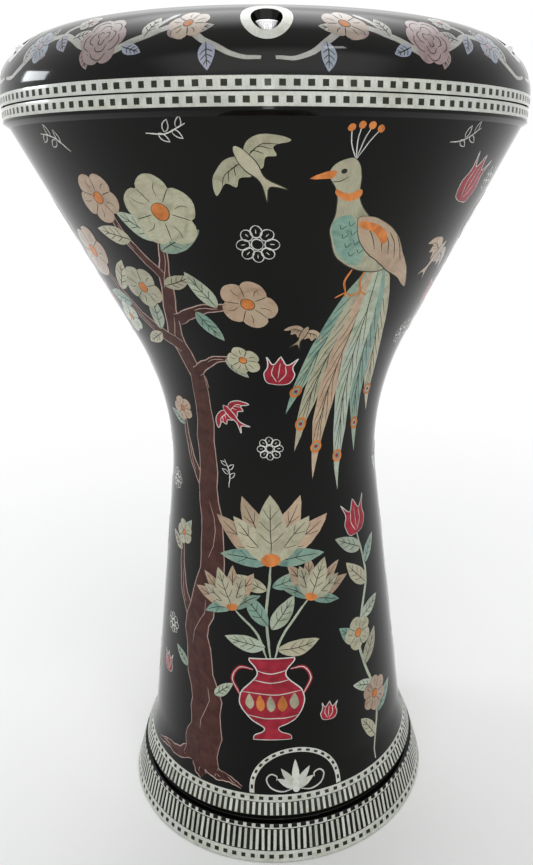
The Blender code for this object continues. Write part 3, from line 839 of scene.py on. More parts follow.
def make_head():
    """Film over the bearing edge, bent down into a skirt that enters the hoop."""
    centre = (BEARING_RADIUS, BEARING_HEIGHT - COLLAR_WALL / 2)
    over = FILM_TOP - centre[1]
    inner_skirt = SKIRT_RADIUS - FILM_THICKNESS
    slope = -math.cos(FILM_LEAVES) / math.sin(FILM_LEAVES)
    bend = arc(centre, over, math.pi / 2, FILM_LEAVES)
    inner_bend = arc(centre, over - FILM_THICKNESS, FILM_LEAVES, math.pi / 2)
    outline = [
        *[(BEARING_RADIUS * i / FILM_RINGS, FILM_TOP) for i in range(FILM_RINGS)],
        *bend,
        (SKIRT_RADIUS, bend[-1][1] + (SKIRT_RADIUS - bend[-1][0]) * slope),
        (SKIRT_RADIUS, SKIRT_END),
        (inner_skirt, SKIRT_END),
        (inner_skirt, inner_bend[0][1] + (inner_skirt - inner_bend[0][0]) * slope),
        *inner_bend,
        (0.0, FILM_TOP - FILM_THICKNESS),
    ]
    head = mesh_object("head_film", shaded(turned_mesh("head_film", outline, closed=False)))
    finished(head, "goblet", [FILM], "head_film", "drum_head")


def make_hoop():
    """Channel hoop that holds the skirt."""
    inner = inner_radius("head_hoop")
    channel_inner, channel_outer = inner + HOOP_INNER_WALL, HOOP_OUTER - HOOP_OUTER_WALL
    floor, inner_top = HOOP_BOTTOM + HOOP_FLOOR, HOOP_TOP - HOOP_STEP
    outline = eased([
        (channel_outer, HOOP_TOP), (HOOP_OUTER, HOOP_TOP), (HOOP_OUTER, HOOP_BOTTOM), (inner, HOOP_BOTTOM),
        (inner, inner_top), (channel_inner, inner_top), (channel_inner, floor), (channel_outer, floor),
    ], HOOP_EASE)
    hoop = mesh_object("channel_hoop", shaded(turned_mesh("channel_hoop", outline)))
    finished(hoop, "clamp_ring", [ALLOY], "bare_alloy", "head_hoop")


def inner_radius(node):
    """Least distance of a CAD node's corners from the axis."""
    return min(math.hypot(v.co.x, v.co.y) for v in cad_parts[node].data.vertices)


def bolt_mesh():
    """Socket-head cap screw on the axis: knurled head, hexagonal socket, plain shank."""
    underside = HEAD_TOP - HEAD_HEIGHT
    mesh = turned_mesh("bolt", [
        *[(r, HEAD_TOP) for r in (0.0, *HEAD_RINGS)],
        *arc((HEAD_RADIUS - HEAD_EDGE, HEAD_TOP - HEAD_EDGE), HEAD_EDGE, math.pi / 2, 0.0, HEAD_EDGE_STEPS),
        *[(HEAD_RADIUS, HEAD_TOP - depth) for depth in KNURL_ENDS],
        (HEAD_RADIUS - HEAD_CHAMFER, underside),
        (SHANK_RADIUS + HEAD_CHAMFER, underside),
        (SHANK_RADIUS, underside - HEAD_CHAMFER),
        (SHANK_RADIUS, BOLT_TIP + BOLT_POINT),
        (SHANK_RADIUS - BOLT_POINT, BOLT_TIP),
        (0.0, BOLT_TIP),
    ], KNURLS * 4, closed=False)
    for vert in mesh.vertices:
        if any(abs(HEAD_TOP - depth - vert.co.z) < TINY for depth in KNURL_ENDS):
            turn = math.atan2(vert.co.y, vert.co.x)
            shrink = 1 - KNURL_DEPTH / HEAD_RADIUS * (0.5 + 0.5 * math.cos(KNURLS * turn))
            vert.co.x *= shrink
            vert.co.y *= shrink
    key = bmesh.new()
    corner = SOCKET_ACROSS_FLATS / math.sqrt(3)
    bmesh.ops.create_cone(key, cap_ends=True, segments=6, radius1=corner, radius2=corner,
                          depth=2 * SOCKET_DEPTH, matrix=Matrix.Translation((0, 0, HEAD_TOP)))
    key_mesh = bpy.data.meshes.new("key")
    key.to_mesh(key_mesh)
    key.free()
    floor = HEAD_TOP - SOCKET_DEPTH
    drill = rod("drill", [(0.0, floor + DRILL_RIM), (DRILL_RADIUS, floor + DRILL_RIM),
                          (DRILL_RADIUS, floor - DRILL_EDGE), (0.0, floor - DRILL_POINT)])
    return carved(mesh, ("DIFFERENCE", key_mesh), ("DIFFERENCE", drill))


def make_bolts():
    """The six bolts and their washers."""
    bolt = bolt_mesh()
    hole = SHANK_RADIUS + SEAT_GAP
    washer = turned_mesh("washer", eased([
        (hole, WASHER_TOP), (WASHER_RADIUS, WASHER_TOP),
        (WASHER_RADIUS, WASHER_BOTTOM), (hole, WASHER_BOTTOM),
    ], WASHER_EASE), BOLT_STEPS)
    for index in range(BOLT_COUNT):
        number = index + 1
        for name, mesh, body in ((f"tension_bolt_{number}", bolt, f"bolt_{number}"),
                                 (f"bolt_washer_{number}", washer, "clamp_ring")):
            own = mesh.copy()
            own.transform(at_bolt(index))
            piece = mesh_object("fine_" + name, shaded(own, BOLT_SHARP_ANGLE))
            finished(piece, body, [STEEL], "plated_steel", name)


# Surfaces that carry inlay


class Skin:
    """Turned surface that carries inlay. A place on it is a turn round the axis and a way up it."""

    def __init__(self, outline, body):
        self.points = [Vector(p) for p in outline]
        self.body = body
        self.ways = [0.0]
        for a, b in zip(self.points, self.points[1:]):
            self.ways.append(self.ways[-1] + (b - a).length)
        runs = [(b - a).normalized() for a, b in zip(self.points, self.points[1:])]
        runs = [runs[0], *runs, runs[-1]]
        self.normals = [Vector((a.y + b.y, -a.x - b.x)).normalized() for a, b in zip(runs, runs[1:])]

    def way_at(self, height):
        """Way up the outline to a height."""
        for k in range(1, len(self.points)):
            a, b = self.points[k - 1], self.points[k]
            if b.y >= height:
                return self.ways[k - 1] + (height - a.y) / (b.y - a.y) * (self.ways[k] - self.ways[k - 1])
        return self.ways[-1]

    def way_out(self, radius):
        """Way up to where the outline, followed down from its top, is at a distance from the axis."""
        for k in range(len(self.points) - 1, 0, -1):
            a, b = self.points[k - 1], self.points[k]
            if a.x >= radius:
                return self.ways[k - 1] + (a.x - radius) / (a.x - b.x) * (self.ways[k] - self.ways[k - 1])
        return 0.0

    def at(self, way):
        """Point and normal of the outline at a way up it."""
        low = min(max(bisect_right(self.ways, way) - 1, 0), len(self.ways) - 2)
        high = low + 1
        share = (way - self.ways[low]) / (self.ways[high] - self.ways[low])
        point = self.points[low].lerp(self.points[high], share)
        return point, self.normals[low].lerp(self.normals[high], share).normalized()

    def spot(self, turn, way, lift=0.0):
        """Place in space, and the outward direction there."""
        point, normal = self.at(way)
        out = Vector((normal.x * math.cos(turn), normal.x * math.sin(turn), normal.y))
        place = Vector((point.x * math.cos(turn), point.x * math.sin(turn), point.y))
        return place + out * lift, out


RING_SHOULDER = shoulder(RING_BORE + LIP_EDGE, SKIN_STEPS)
RING_SKIN = Skin([(RING_RADIUS, RING_BOTTOM), *reversed(RING_SHOULDER)], "clamp_ring")
GOBLET_SKIN = Skin([upper_foot(UPPER_STRIP_TOP), *goblet_side()[::-1]], "goblet")


class Work:
    """Inlay of one skin, gathered by finish: cut pieces and lines as closed thin bodies."""

    def __init__(self, skin, title):
        self.skin = skin
        self.title = title
        self.heaps = {}
        self.chance = random.Random(title)

    def heap(self, finish):
        """Corners, normals, faces and shades gathered so far in a finish."""
        return self.heaps.setdefault(finish.name, (finish, [], [], [], []))

    def slab(self, finish, turn, way, flat, faces, edges, lift):
        """A thin closed body over flat points, given in metres across and up from a place."""
        _, verts, normals, polygons, shades = self.heap(finish)
        start, count = len(verts), len(flat)
        shades.extend([self.chance.uniform(-1.0, 1.0)] * (2 * count))
        for level, sign in ((lift, 1), (-SUNK, -1)):
            for point in flat:
                radius = self.skin.at(way + point[1])[0].x
                place, out = self.skin.spot(turn + point[0] / radius, way + point[1], level)
                verts.append(place)
                normals.append(out * sign)
        polygons.extend([start + i for i in face] for face in faces)
        polygons.extend([start + count + i for i in reversed(face)] for face in faces)
        polygons.extend([start + a, start + count + a, start + count + b, start + b] for a, b in edges)

    def cut(self, finish, turn, way, outline, layer):
        """A piece cut to an outline, with corners enough to follow the curve of the drum."""
        outline = refined([*outline, outline[0]], PATCH_GRID)[:-1]
        columns, rows = grid_lines([x for x, _ in outline]), grid_lines([y for _, y in outline])
        grid = [(x, y) for x in columns for y in rows if inside(outline, x, y)]
        points = [Vector(p) for p in outline + grid]
        edges = [(i, (i + 1) % len(outline)) for i in range(len(outline))]
        flat, _, faces, _, _, _ = delaunay_2d_cdt(points, edges, [], FACES_INSIDE, MERGE_DISTANCE)
        faces = [face if area(flat, face) > 0 else list(reversed(face)) for face in faces]
        sides = {(face[k - 1], face[k]) for face in faces for k in range(len(face))}
        border = [(a, b) for a, b in sides if (b, a) not in sides]
        self.slab(finish, turn, way, flat, faces, sorted(border), PROUD + layer * LAYER)

    def line(self, finish, turn, way, path, width, layer):
        """A line of a width along a path, thinner towards its ends."""
        path = refined(path, LINE_STEP)
        count = len(path)
        flat = []
        for i, point in enumerate(path):
            ahead = Vector(path[min(i + 1, count - 1)]) - Vector(path[max(i - 1, 0)])
            side = Vector((ahead.y, -ahead.x)).normalized()
            nearest_end = min(i, count - 1 - i) / (count - 1)
            half = width / 2 * (LINE_END + (1 - LINE_END) * min(1.0, nearest_end / LINE_TAPER))
            flat.append(tuple(Vector(point) + side * half))
            flat.append(tuple(Vector(point) - side * half))
        faces = [[2 * i, 2 * i + 2, 2 * i + 3, 2 * i + 1] for i in range(count - 1)]
        edges = [(2 * i, 2 * i + 2) for i in range(count - 1)]
        edges += [(2 * i + 3, 2 * i + 1) for i in range(count - 1)]
        edges += [(1, 0), (2 * count - 2, 2 * count - 1)]
        self.slab(finish, turn, way, flat, faces, edges, PROUD + layer * LAYER + LINE_LIFT)

    def piece(self, title, name, *nodes):
        """Make one piece of all that is gathered in a finish, shaded with the skin's own curve."""
        finish, verts, normals, polygons, shades = self.heaps[name]
        mesh = curved_mesh(title, verts, polygons, normals)
        mesh.attributes.new("shade", "FLOAT", "POINT").data.foreach_set("value", shades)
        finished(mesh_object(title, mesh), self.skin.body, [finish], "pearl", *nodes)

    def finish_off(self):
        """Make one piece of each finish."""
        for name in self.heaps:
            self.piece(f"{self.title}_{name}", name)


def curved_mesh(title, verts, faces, normals):
    """A closed mesh with its normals given."""
    mesh = bpy.data.meshes.new(title)
    mesh.from_pydata(verts, [], faces)
    mesh.shade_smooth()
    mesh.normals_split_custom_set_from_vertices(normals)
    return mesh


def grid_lines(values):
    """Lines of the grid that cross a span of values."""
    lines = [math.floor(min(values) / PATCH_GRID) * PATCH_GRID]
    while lines[-1] + PATCH_GRID < max(values):
        lines.append(lines[-1] + PATCH_GRID)
    return lines


def area(points, face):
    """Signed area of a flat face."""
    return sum(points[face[k - 1]][0] * points[face[k]][1] - points[face[k]][0] * points[face[k - 1]][1]
               for k in range(len(face))) / 2


def inside(outline, x, y):
    """Whether a point lies inside an outline."""
    found = False
    for (ax, ay), (bx, by) in zip(outline, outline[1:] + outline[:1]):
        if (ay > y) != (by > y) and x < ax + (y - ay) / (by - ay) * (bx - ax):
            found = not found
    return found


class Pen:
    """Draws at one place of a work. Points are complex numbers in millimetres: across + up * 1j."""

    def __init__(self, work, turn, height, shift=0, spin=1, mirrored=False, way=None, freehand=True):
        self.work = work
        self.turn = turn
        self.way = work.skin.way_at(height) if way is None else way
        self.shift = shift
        self.spin = spin
        self.mirrored = mirrored
        self.freehand = freehand

    def flat(self, point):
        """Place of a drawn point, in millimetres from the pen's first place."""
        if self.mirrored:
            point = complex(-point.real, point.imag)
        return self.shift + self.spin * point

    def at(self, shift, tilt=0.0, size=1.0, mirrored=False):
        """A pen moved, tilted by degrees, sized and mirrored from this one."""
        spin = size * complex(math.cos(math.radians(tilt)), math.sin(math.radians(tilt)))
        if self.mirrored:
            spin = spin.conjugate()
        return Pen(self.work, self.turn, 0.0, self.flat(shift), self.spin * spin,
                   self.mirrored != mirrored, self.way, self.freehand)

    def metres(self, points):
        """Drawn points in metres, as pairs."""
        placed = [self.flat(p) for p in points]
        if self.freehand:
            placed = [p + drift(p, self.turn) for p in placed]
        return [(p.real * MM, p.imag * MM) for p in placed]

    def cut(self, finish, points, layer=0):
        """Inlay a piece."""
        outline = self.metres(points)
        if self.mirrored:
            outline.reverse()
        self.work.cut(finish, self.turn, self.way, outline, layer)

    def line(self, finish, points, width=0.45, layer=0):
        """Inlay or engrave a line."""
        self.work.line(finish, self.turn, self.way, self.metres(points), width * MM, layer)


# Drawn shapes, in millimetres


def drift(point, turn):
    """How far a hand strays from a drawn point. Near points stray alike."""
    strayed = 0
    for reach, length in (SLOW_DRIFT, QUICK_DRIFT):
        push = noise.noise_vector((point.real / length, point.imag / length, turn + reach))
        strayed += reach * complex(push.x, push.y)
    return strayed


def spline(points, steps=5, closed=False):
    """Smooth line through a few points."""
    count = len(points)
    runs = count if closed else count - 1
    made = []
    for i in range(runs):
        if closed:
            a, b, c, d = (points[(i + k) % count] for k in (-1, 0, 1, 2))
        else:
            b, c = points[i], points[i + 1]
            a = points[i - 1] if i > 0 else 2 * b - c
            d = points[i + 2] if i + 2 < count else 2 * c - b
        for k in range(steps):
            t = k / steps
            made.append(0.5 * (2 * b + (c - a) * t + (2 * a - 5 * b + 4 * c - d) * t * t
                               + (3 * b - a - 3 * c + d) * t ** 3))
    return made if closed else [*made, points[-1]]


def circle(radius, centre=0, steps=18, squash=1.0):
    """Outline of a circle, or of an upright ellipse."""
    return [centre + complex(radius * squash * math.cos(2 * math.pi * i / steps),
                             radius * math.sin(2 * math.pi * i / steps)) for i in range(steps)]


def loop(points):
    """A closed outline as a line."""
    return [*points, points[0]]


def spoke(length, degrees):
    """Point at a distance and a direction."""
    return length * complex(math.cos(math.radians(degrees)), math.sin(math.radians(degrees)))


def leaf_spine(length, bend, t):
    """Point along a leaf's midrib."""
    return complex(bend * t * t, length * t)


def leaf_shape(length, width, bend=0.0, steps=12):
    """Outline of a leaf, from its stalk straight up to its tip, bent sideways."""
    right, left = [], []
    for i in range(steps + 1):
        t = i / steps
        half = width / 2 * math.sin(math.pi * t ** 0.8) ** 0.85
        right.append(leaf_spine(length, bend, t) + half)
        left.append(leaf_spine(length, bend, t) - half)
    return right + left[-2:0:-1]


def flipped(points):
    """Drawn points on the other side of an upright line."""
    return [complex(-p.real, p.imag) for p in points]


def leaf(pen, length, width, bend=0.0, finish=CREAM_PEARL, layer=0, veins=3):
    """A leaf or petal with its midrib and veins engraved, or a plain one when its veins are None."""
    pen.cut(finish, leaf_shape(length, width, bend), layer)
    if veins is None:
        return
    pen.line(ENGRAVING, [leaf_spine(length, bend, t / 8) for t in range(8)], 0.5, layer)
    for k in range(veins):
        t = 0.18 + 0.55 * (k + 0.5) / veins
        reach = width / 2 * math.sin(math.pi * (t + 0.12) ** 0.8) * 0.78
        for side in (-1, 1):
            start, end = leaf_spine(length, bend, t), leaf_spine(length, bend, t + 0.16) + side * reach
            middle = (start + end) / 2 - 0.06j * reach
            pen.line(ENGRAVING, spline([start, middle, end], 3), 0.36, layer)


def leaves(pen, layer, *rows):
    """Single leaves, given as (place, tilt, length, finish)."""
    for place, tilt, length, finish in rows:
        leaf(pen.at(place, tilt), length, length * 0.42, 0.0, finish, layer)


def scallops(radius, petals, deep=0.22, turn=0.0):
    """Outline of a flower with round petals, ten points to a petal."""
    made = []
    for i in range(petals * 10):
        lobe = abs(math.sin(math.pi * i / 10)) ** 0.7
        made.append(spoke(radius * (1 - deep + deep * lobe), 360 * i / (petals * 10) + turn))
    return made


def blossom(pen, radius, finish, petals=5, heart=ORANGE, layer=1):
    """A round-petalled flower with a heart and engraved petals."""
    pen.cut(finish, scallops(radius, petals), layer)
    for k in range(petals):
        turn = 360 * k / petals
        pen.line(ENGRAVING, [spoke(radius * s, turn) for s in (0.30, 0.55, 0.78)], 0.42, layer)
        fold = turn + 180 / petals
        pen.line(ENGRAVING, spline([spoke(radius * 0.42, fold - 9), spoke(radius * 0.62, fold - 5),
                                    spoke(radius * 0.80, fold - 10)], 3), 0.32, layer)
    pen.cut(heart, circle(radius * 0.24), layer + 1)
    pen.line(ENGRAVING, loop(circle(radius * 0.24)), 0.36, layer + 1)


def rose(pen, radius, finish, layer=1):
    """A full rose: scalloped outline with curled petals engraved inwards."""
    pen.cut(finish, scallops(radius, 6, 0.16, turn=12), layer)
    for ring, (share, petals) in enumerate(((0.78, 5), (0.52, 4), (0.27, 3))):
        for k in range(petals):
            turn = 360 * k / petals + ring * 37
            span = 360 / petals * 0.86
            path = [spoke(radius * (share + out), turn + span * along)
                    for out, along in ((-0.12, 0.0), (0.0, 0.3), (0.03, 0.65), (-0.10, 1.0))]
            pen.line(ENGRAVING, spline(path, 4), 0.42, layer)


def line_flower(pen, radius):
    """A rosette in white line: eight petals as loops round a small ring."""
    for turn in range(0, 360, 45):
        centre = spoke(radius * 0.66, turn)
        axis = spoke(1, turn)
        petal = [centre + axis * p for p in circle(radius * 0.27, steps=16, squash=1.2)]
        pen.line(WHITE_LINE, loop(petal), 0.55)
        pen.line(WHITE_LINE, [spoke(radius * 0.55, turn), spoke(radius * 0.75, turn)], 0.45)
    pen.line(WHITE_LINE, loop(circle(radius * 0.27, steps=16)), 0.55)


def tulip(pen, size, layer=0):
    """A tulip with a pale rim and inner petals."""
    half = [0, 0.30 + 0.06j, 0.44 + 0.36j, 0.36 + 0.66j, 0.46 + 1.02j, 0.20 + 0.74j, 0.0 + 1.06j]
    right = spline([size * p for p in half[:5]], 5) + spline([size * p for p in half[4:]], 5)[1:]
    outline = right + flipped(right[-2:0:-1])
    pen.cut(CRIMSON, outline, layer)
    pen.line(WHITE_LINE, loop(outline), 0.6, layer)
    inner = spline([size * p for p in (0.03 + 0.10j, 0.20 + 0.40j, 0.17 + 0.72j)], 4)
    for petal in (flipped(inner), inner):
        pen.line(WHITE_LINE, petal, 0.42, layer)
    pen.line(WHITE_LINE, [0.22j * size, 0.80j * size], 0.36, layer)


def lotus(pen, size, layer=1):
    """A lotus: back petals peach, front petals pale, sepals green."""
    pairs = ((52, 0.98, 0.34, PEACH_PEARL, 2), (24, 0.98, 0.34, PEACH_PEARL, 2), (78, 0.72, 0.24, TEAL, 1),
             (40, 0.80, 0.32, CREAM_PEARL, 2))
    for k, (angle, length, width, finish, veins) in enumerate(pairs):
        for side in (-1, 1):
            bend = -0.1 * side * size if finish is TEAL else 0.0
            leaf(pen.at(0, side * angle), size * length, size * width, bend, finish, layer + k, veins)
    leaf(pen, size * 0.92, size * 0.42, 0.0, CREAM_PEARL, layer + len(pairs))
    pen.cut(ORANGE, circle(size * 0.09, 0.02j * size, 18, 1.5), layer + 5)


def sprig(pen, length):
    """A little branch in white line."""
    pen.line(WHITE_LINE, spline([0, complex(length * 0.10, length * 0.45), complex(0, length)], 5), 0.55)
    for t, side in ((0.30, 1), (0.45, -1), (0.62, 1), (0.76, -1)):
        shape = leaf_shape(length * 0.30, length * 0.13, 0.0, 5)
        turn = spoke(1, -52 * side)
        pen.line(WHITE_LINE, loop([complex(length * 0.06, length * t) + p * turn for p in shape]), 0.45)


def swallow(pen, size, finish=CREAM_PEARL, rim=None):
    """A small bird on the wing, seen from above, flying up, engraved or drawn in the colour of its rim."""
    body = spline([p * size for p in (0.50j, 0.09 + 0.36j, 0.12 + 0.05j, 0.06 - 0.25j, 0.22 - 0.62j,
                                      0.0 - 0.42j, -0.22 - 0.62j, -0.06 - 0.25j, -0.12 + 0.05j,
                                      -0.09 + 0.36j)], 5, True)
    for side in (-1, 1):
        wing = [(0.06, 0.28), (0.30, 0.42), (0.62, 0.30), (0.80, 0.02), (0.52, 0.10), (0.44, -0.06),
                (0.28, 0.02), (0.10, -0.08)]
        wing = spline([complex(side * x, y) * size for x, y in wing], 5, True)
        if side < 0:
            wing.reverse()
        pen.cut(finish, wing)
        for reach in (0.30, 0.46, 0.60):
            quill = ((0.12, 0.20), (reach * 0.7, 0.22), (reach, 0.08))
            pen.line(rim or ENGRAVING, spline([complex(side * x, y) * size for x, y in quill], 3), 0.36)
        if rim:
            pen.line(rim, loop(wing), 0.55)
    pen.cut(finish, body[::-1], 1)
    pen.line(rim or ENGRAVING, loop(body), 0.5, 1)


def patch(pen, finish, points, layer, steps=3):
    """A piece with a smooth outline through a few points, which is handed back."""
    outline = spline(points, steps, True)
    pen.cut(finish, outline, layer)
    return outline


def rimmed(pen, finish, points, layer):
    """A patch with an engraved rim."""
    pen.line(ENGRAVING, loop(patch(pen, finish, points, layer, 6)), 0.5, layer)


def peacock(pen):
    """A long-tailed bird facing left, about 150 mm from crest to tail."""
    tail = ((-112, 92, TEAL), (-74, 96, CREAM_PEARL), (-104, 112, CREAM_PEARL), (-82, 116, TEAL),
            (-97, 126, PEACH_PEARL), (-89, 134, GREEN_PEARL))
    for k, (angle, length, finish) in enumerate(tail):
        feather, bend = pen.at(8 - 8j, angle - 90), (angle + 93) * 0.30
        leaf(feather, length, 11, bend, finish, k, 6)
        eye = leaf_spine(length, bend, 0.86)
        feather.cut(ORANGE, circle(3.7, eye, 20, 0.8), 6)
        feather.cut(TEAL, circle(2.2, eye, 18, 0.8), 7)
        feather.cut(CRIMSON, circle(1.0, eye, 12), 8)
    body = [-20 + 35j, -25.5 + 32j, -27 + 27j, -23 + 21j, -21 + 12j, -20.5 + 2j, -14 - 10j, -2 - 17j,
            10 - 17j, 15 - 9j, 7 + 2j, -4 + 9j, -12 + 17j, -14 + 28j, -16.5 + 33j]
    rimmed(pen, CREAM_PEARL, body, 8)
    patch(pen, TEAL, [-20 + 9j, -19.6 + 2j, -13.5 - 8.5j, -4 - 14j, -3 - 5j, -9 + 4j, -14 + 10j], 9, 6)
    for row in range(4):
        for k in range(3 - row // 2):
            scale = complex(-17.5 + 3.6 * k + 2.6 * row, 6 - 4.2 * row + 1.2 * k)
            pen.line(ENGRAVING, spline([scale, scale + 1.3 - 2.1j, scale + 3.2 - 0.3j], 3), 0.34, 9)
    collar = [-22.5 + 19j, -17 + 16.5j, -12.2 + 18.5j, -12.8 + 21.5j, -17.5 + 19.5j, -22.8 + 21.5j]
    patch(pen, ORANGE, collar, 9)
    wing = [-10 + 8j, 8.5j, 12, 22 - 12j, 29 - 27j, 19 - 22j, 9 - 15j, -2 - 7j]
    rimmed(pen, PEACH_PEARL, wing, 10)
    for k in range(5):
        start = complex(-5 + 4.2 * k, 5.5 - 1.5 * k)
        pen.line(ENGRAVING, spline([start, start + 4.5 - 5.5j, start + 7.5 - 12.5j], 4), 0.42, 10)
    patch(pen, ORANGE, [-7 + 7.4j, 2 + 4.8j, 7 - 1.5j, 5.5 - 4.5j, 0 + 1.5j, -7.6 + 4.4j], 11)
    patch(pen, ORANGE, [-25 + 29.6j, -34 + 25.4j, -25.6 + 26j], 9)
    pen.cut(ENGRAVING, circle(1.2, -21.5 + 29.2j, 10), 9)
    pen.line(ENGRAVING, spline([-25.5 + 24.6j, -22 + 25j, -19 + 27j], 3), 0.4, 8)
    for angle in (58, 76, 94, 112):
        tip = -18 + 34j + spoke(13, angle)
        pen.line(WHITE_LINE, spline([-18 + 34j, -18 + 34j + spoke(7, angle + 5), tip], 3), 0.45)
        pen.cut(ORANGE, circle(1.5, tip, 14), 1)
    for foot in (-6, 1):
        ankle = foot + 0.5 - 28j
        pen.line(ORANGE, spline([foot - 16j, foot - 1.5 - 22j, ankle], 4), 1.1, 6)
        for toe in (-4, 0.5, 4):
            pen.line(ORANGE, [ankle, foot + toe - 30.5j], 0.8, 6)


def urn(pen):
    """A footed urn with two handles, 42 mm tall."""
    right = spline([9, 8.4 + 2.2j, 4.2 + 4j, 4 + 6.5j, 11 + 11j, 15.5 + 18.5j, 14.4 + 26j, 8.6 + 31.5j,
                    7.2 + 36j, 10.6 + 41j, 10.8 + 43j], 6)
    outline = right + flipped(right[::-1])
    pen.cut(CRIMSON, outline, 2)
    pen.line(WHITE_LINE, loop(outline), 0.7, 2)
    for y, x in ((13, 12.6), (25.5, 14.2), (31.5, 8.6), (36.5, 7.3)):
        pen.line(WHITE_LINE, spline([complex(-x, y), complex(0, y - 1.6), complex(x, y)], 4), 0.6, 2)
    for k in range(-2, 3):
        finish = ORANGE if k % 2 else CREAM_PEARL
        leaf(pen.at(complex(k * 5.3, 15.2 + 0.3 * k * k)), 8.2, 4.2, 0, finish, 3, None)
    handle = spline([9.2 + 37j, 16 + 37.5j, 19.5 + 31.5j, 16.5 + 25.5j, 14.6 + 22.5j], 4)
    for path in (flipped(handle), handle):
        pen.line(CRIMSON, path, 2.2)
        pen.line(WHITE_LINE, path, 0.5, 1)


def bough(pen, points, widths, layer=0):
    """A branch of dark wood colour, with pale lines along its edges and knots in its bark."""
    spine = spline(points, 6)
    count = len(spine)
    right, left = [], []
    for i, point in enumerate(spine):
        ahead = spine[min(i + 1, count - 1)] - spine[max(i - 1, 0)]
        side = -1j * ahead / abs(ahead)
        share = i / (count - 1) * (len(widths) - 1)
        k = min(int(share), len(widths) - 2)
        half = (widths[k] + (widths[k + 1] - widths[k]) * (share - k)) / 2
        wobble = 1 + 0.10 * math.sin(i * 1.9)
        right.append(point + side * half * wobble)
        left.append(point - side * half * (2 - wobble))
    pen.cut(BARK, right + left[::-1], layer)
    pen.line(BLUSH_LINE, right, 0.6, layer)
    pen.line(BLUSH_LINE, left, 0.6, layer)
    for i in range(4, count - 6, 7):
        inner = [spine[i + k] + (right[i + k] - spine[i + k]) * 0.35 * math.sin(k + i) for k in range(5)]
        pen.line(BLUSH_LINE, inner, 0.4, layer)


def stem(pen, points, width, finish=GREEN_PEARL):
    """A thin stalk, handed back as a smooth path."""
    path = spline(points, 8)
    pen.line(finish, path, width)
    return path


def leafy(pen, points, width, count, length, finishes, finish=GREEN_PEARL, wide=0.42, lean=48,
          span=(0.10, 0.94)):
    """A stalk with leaves on both sides by turns, over a span of its length."""
    path = stem(pen, points, width, finish)
    for k in range(count):
        i = round((span[0] + (span[1] - span[0]) * k / (count - 1)) * (len(path) - 2))
        ahead = path[i + 1] - path[i]
        along = math.degrees(math.atan2(ahead.imag, ahead.real)) - 90
        side = 1 if k % 2 else -1
        grown = length * (1 + 0.12 * math.sin(2.4 * k))
        leaf(pen.at(path[i], along - lean * side), grown, grown * wide, 0.0, finishes[k % len(finishes)], 1)


# Compositions


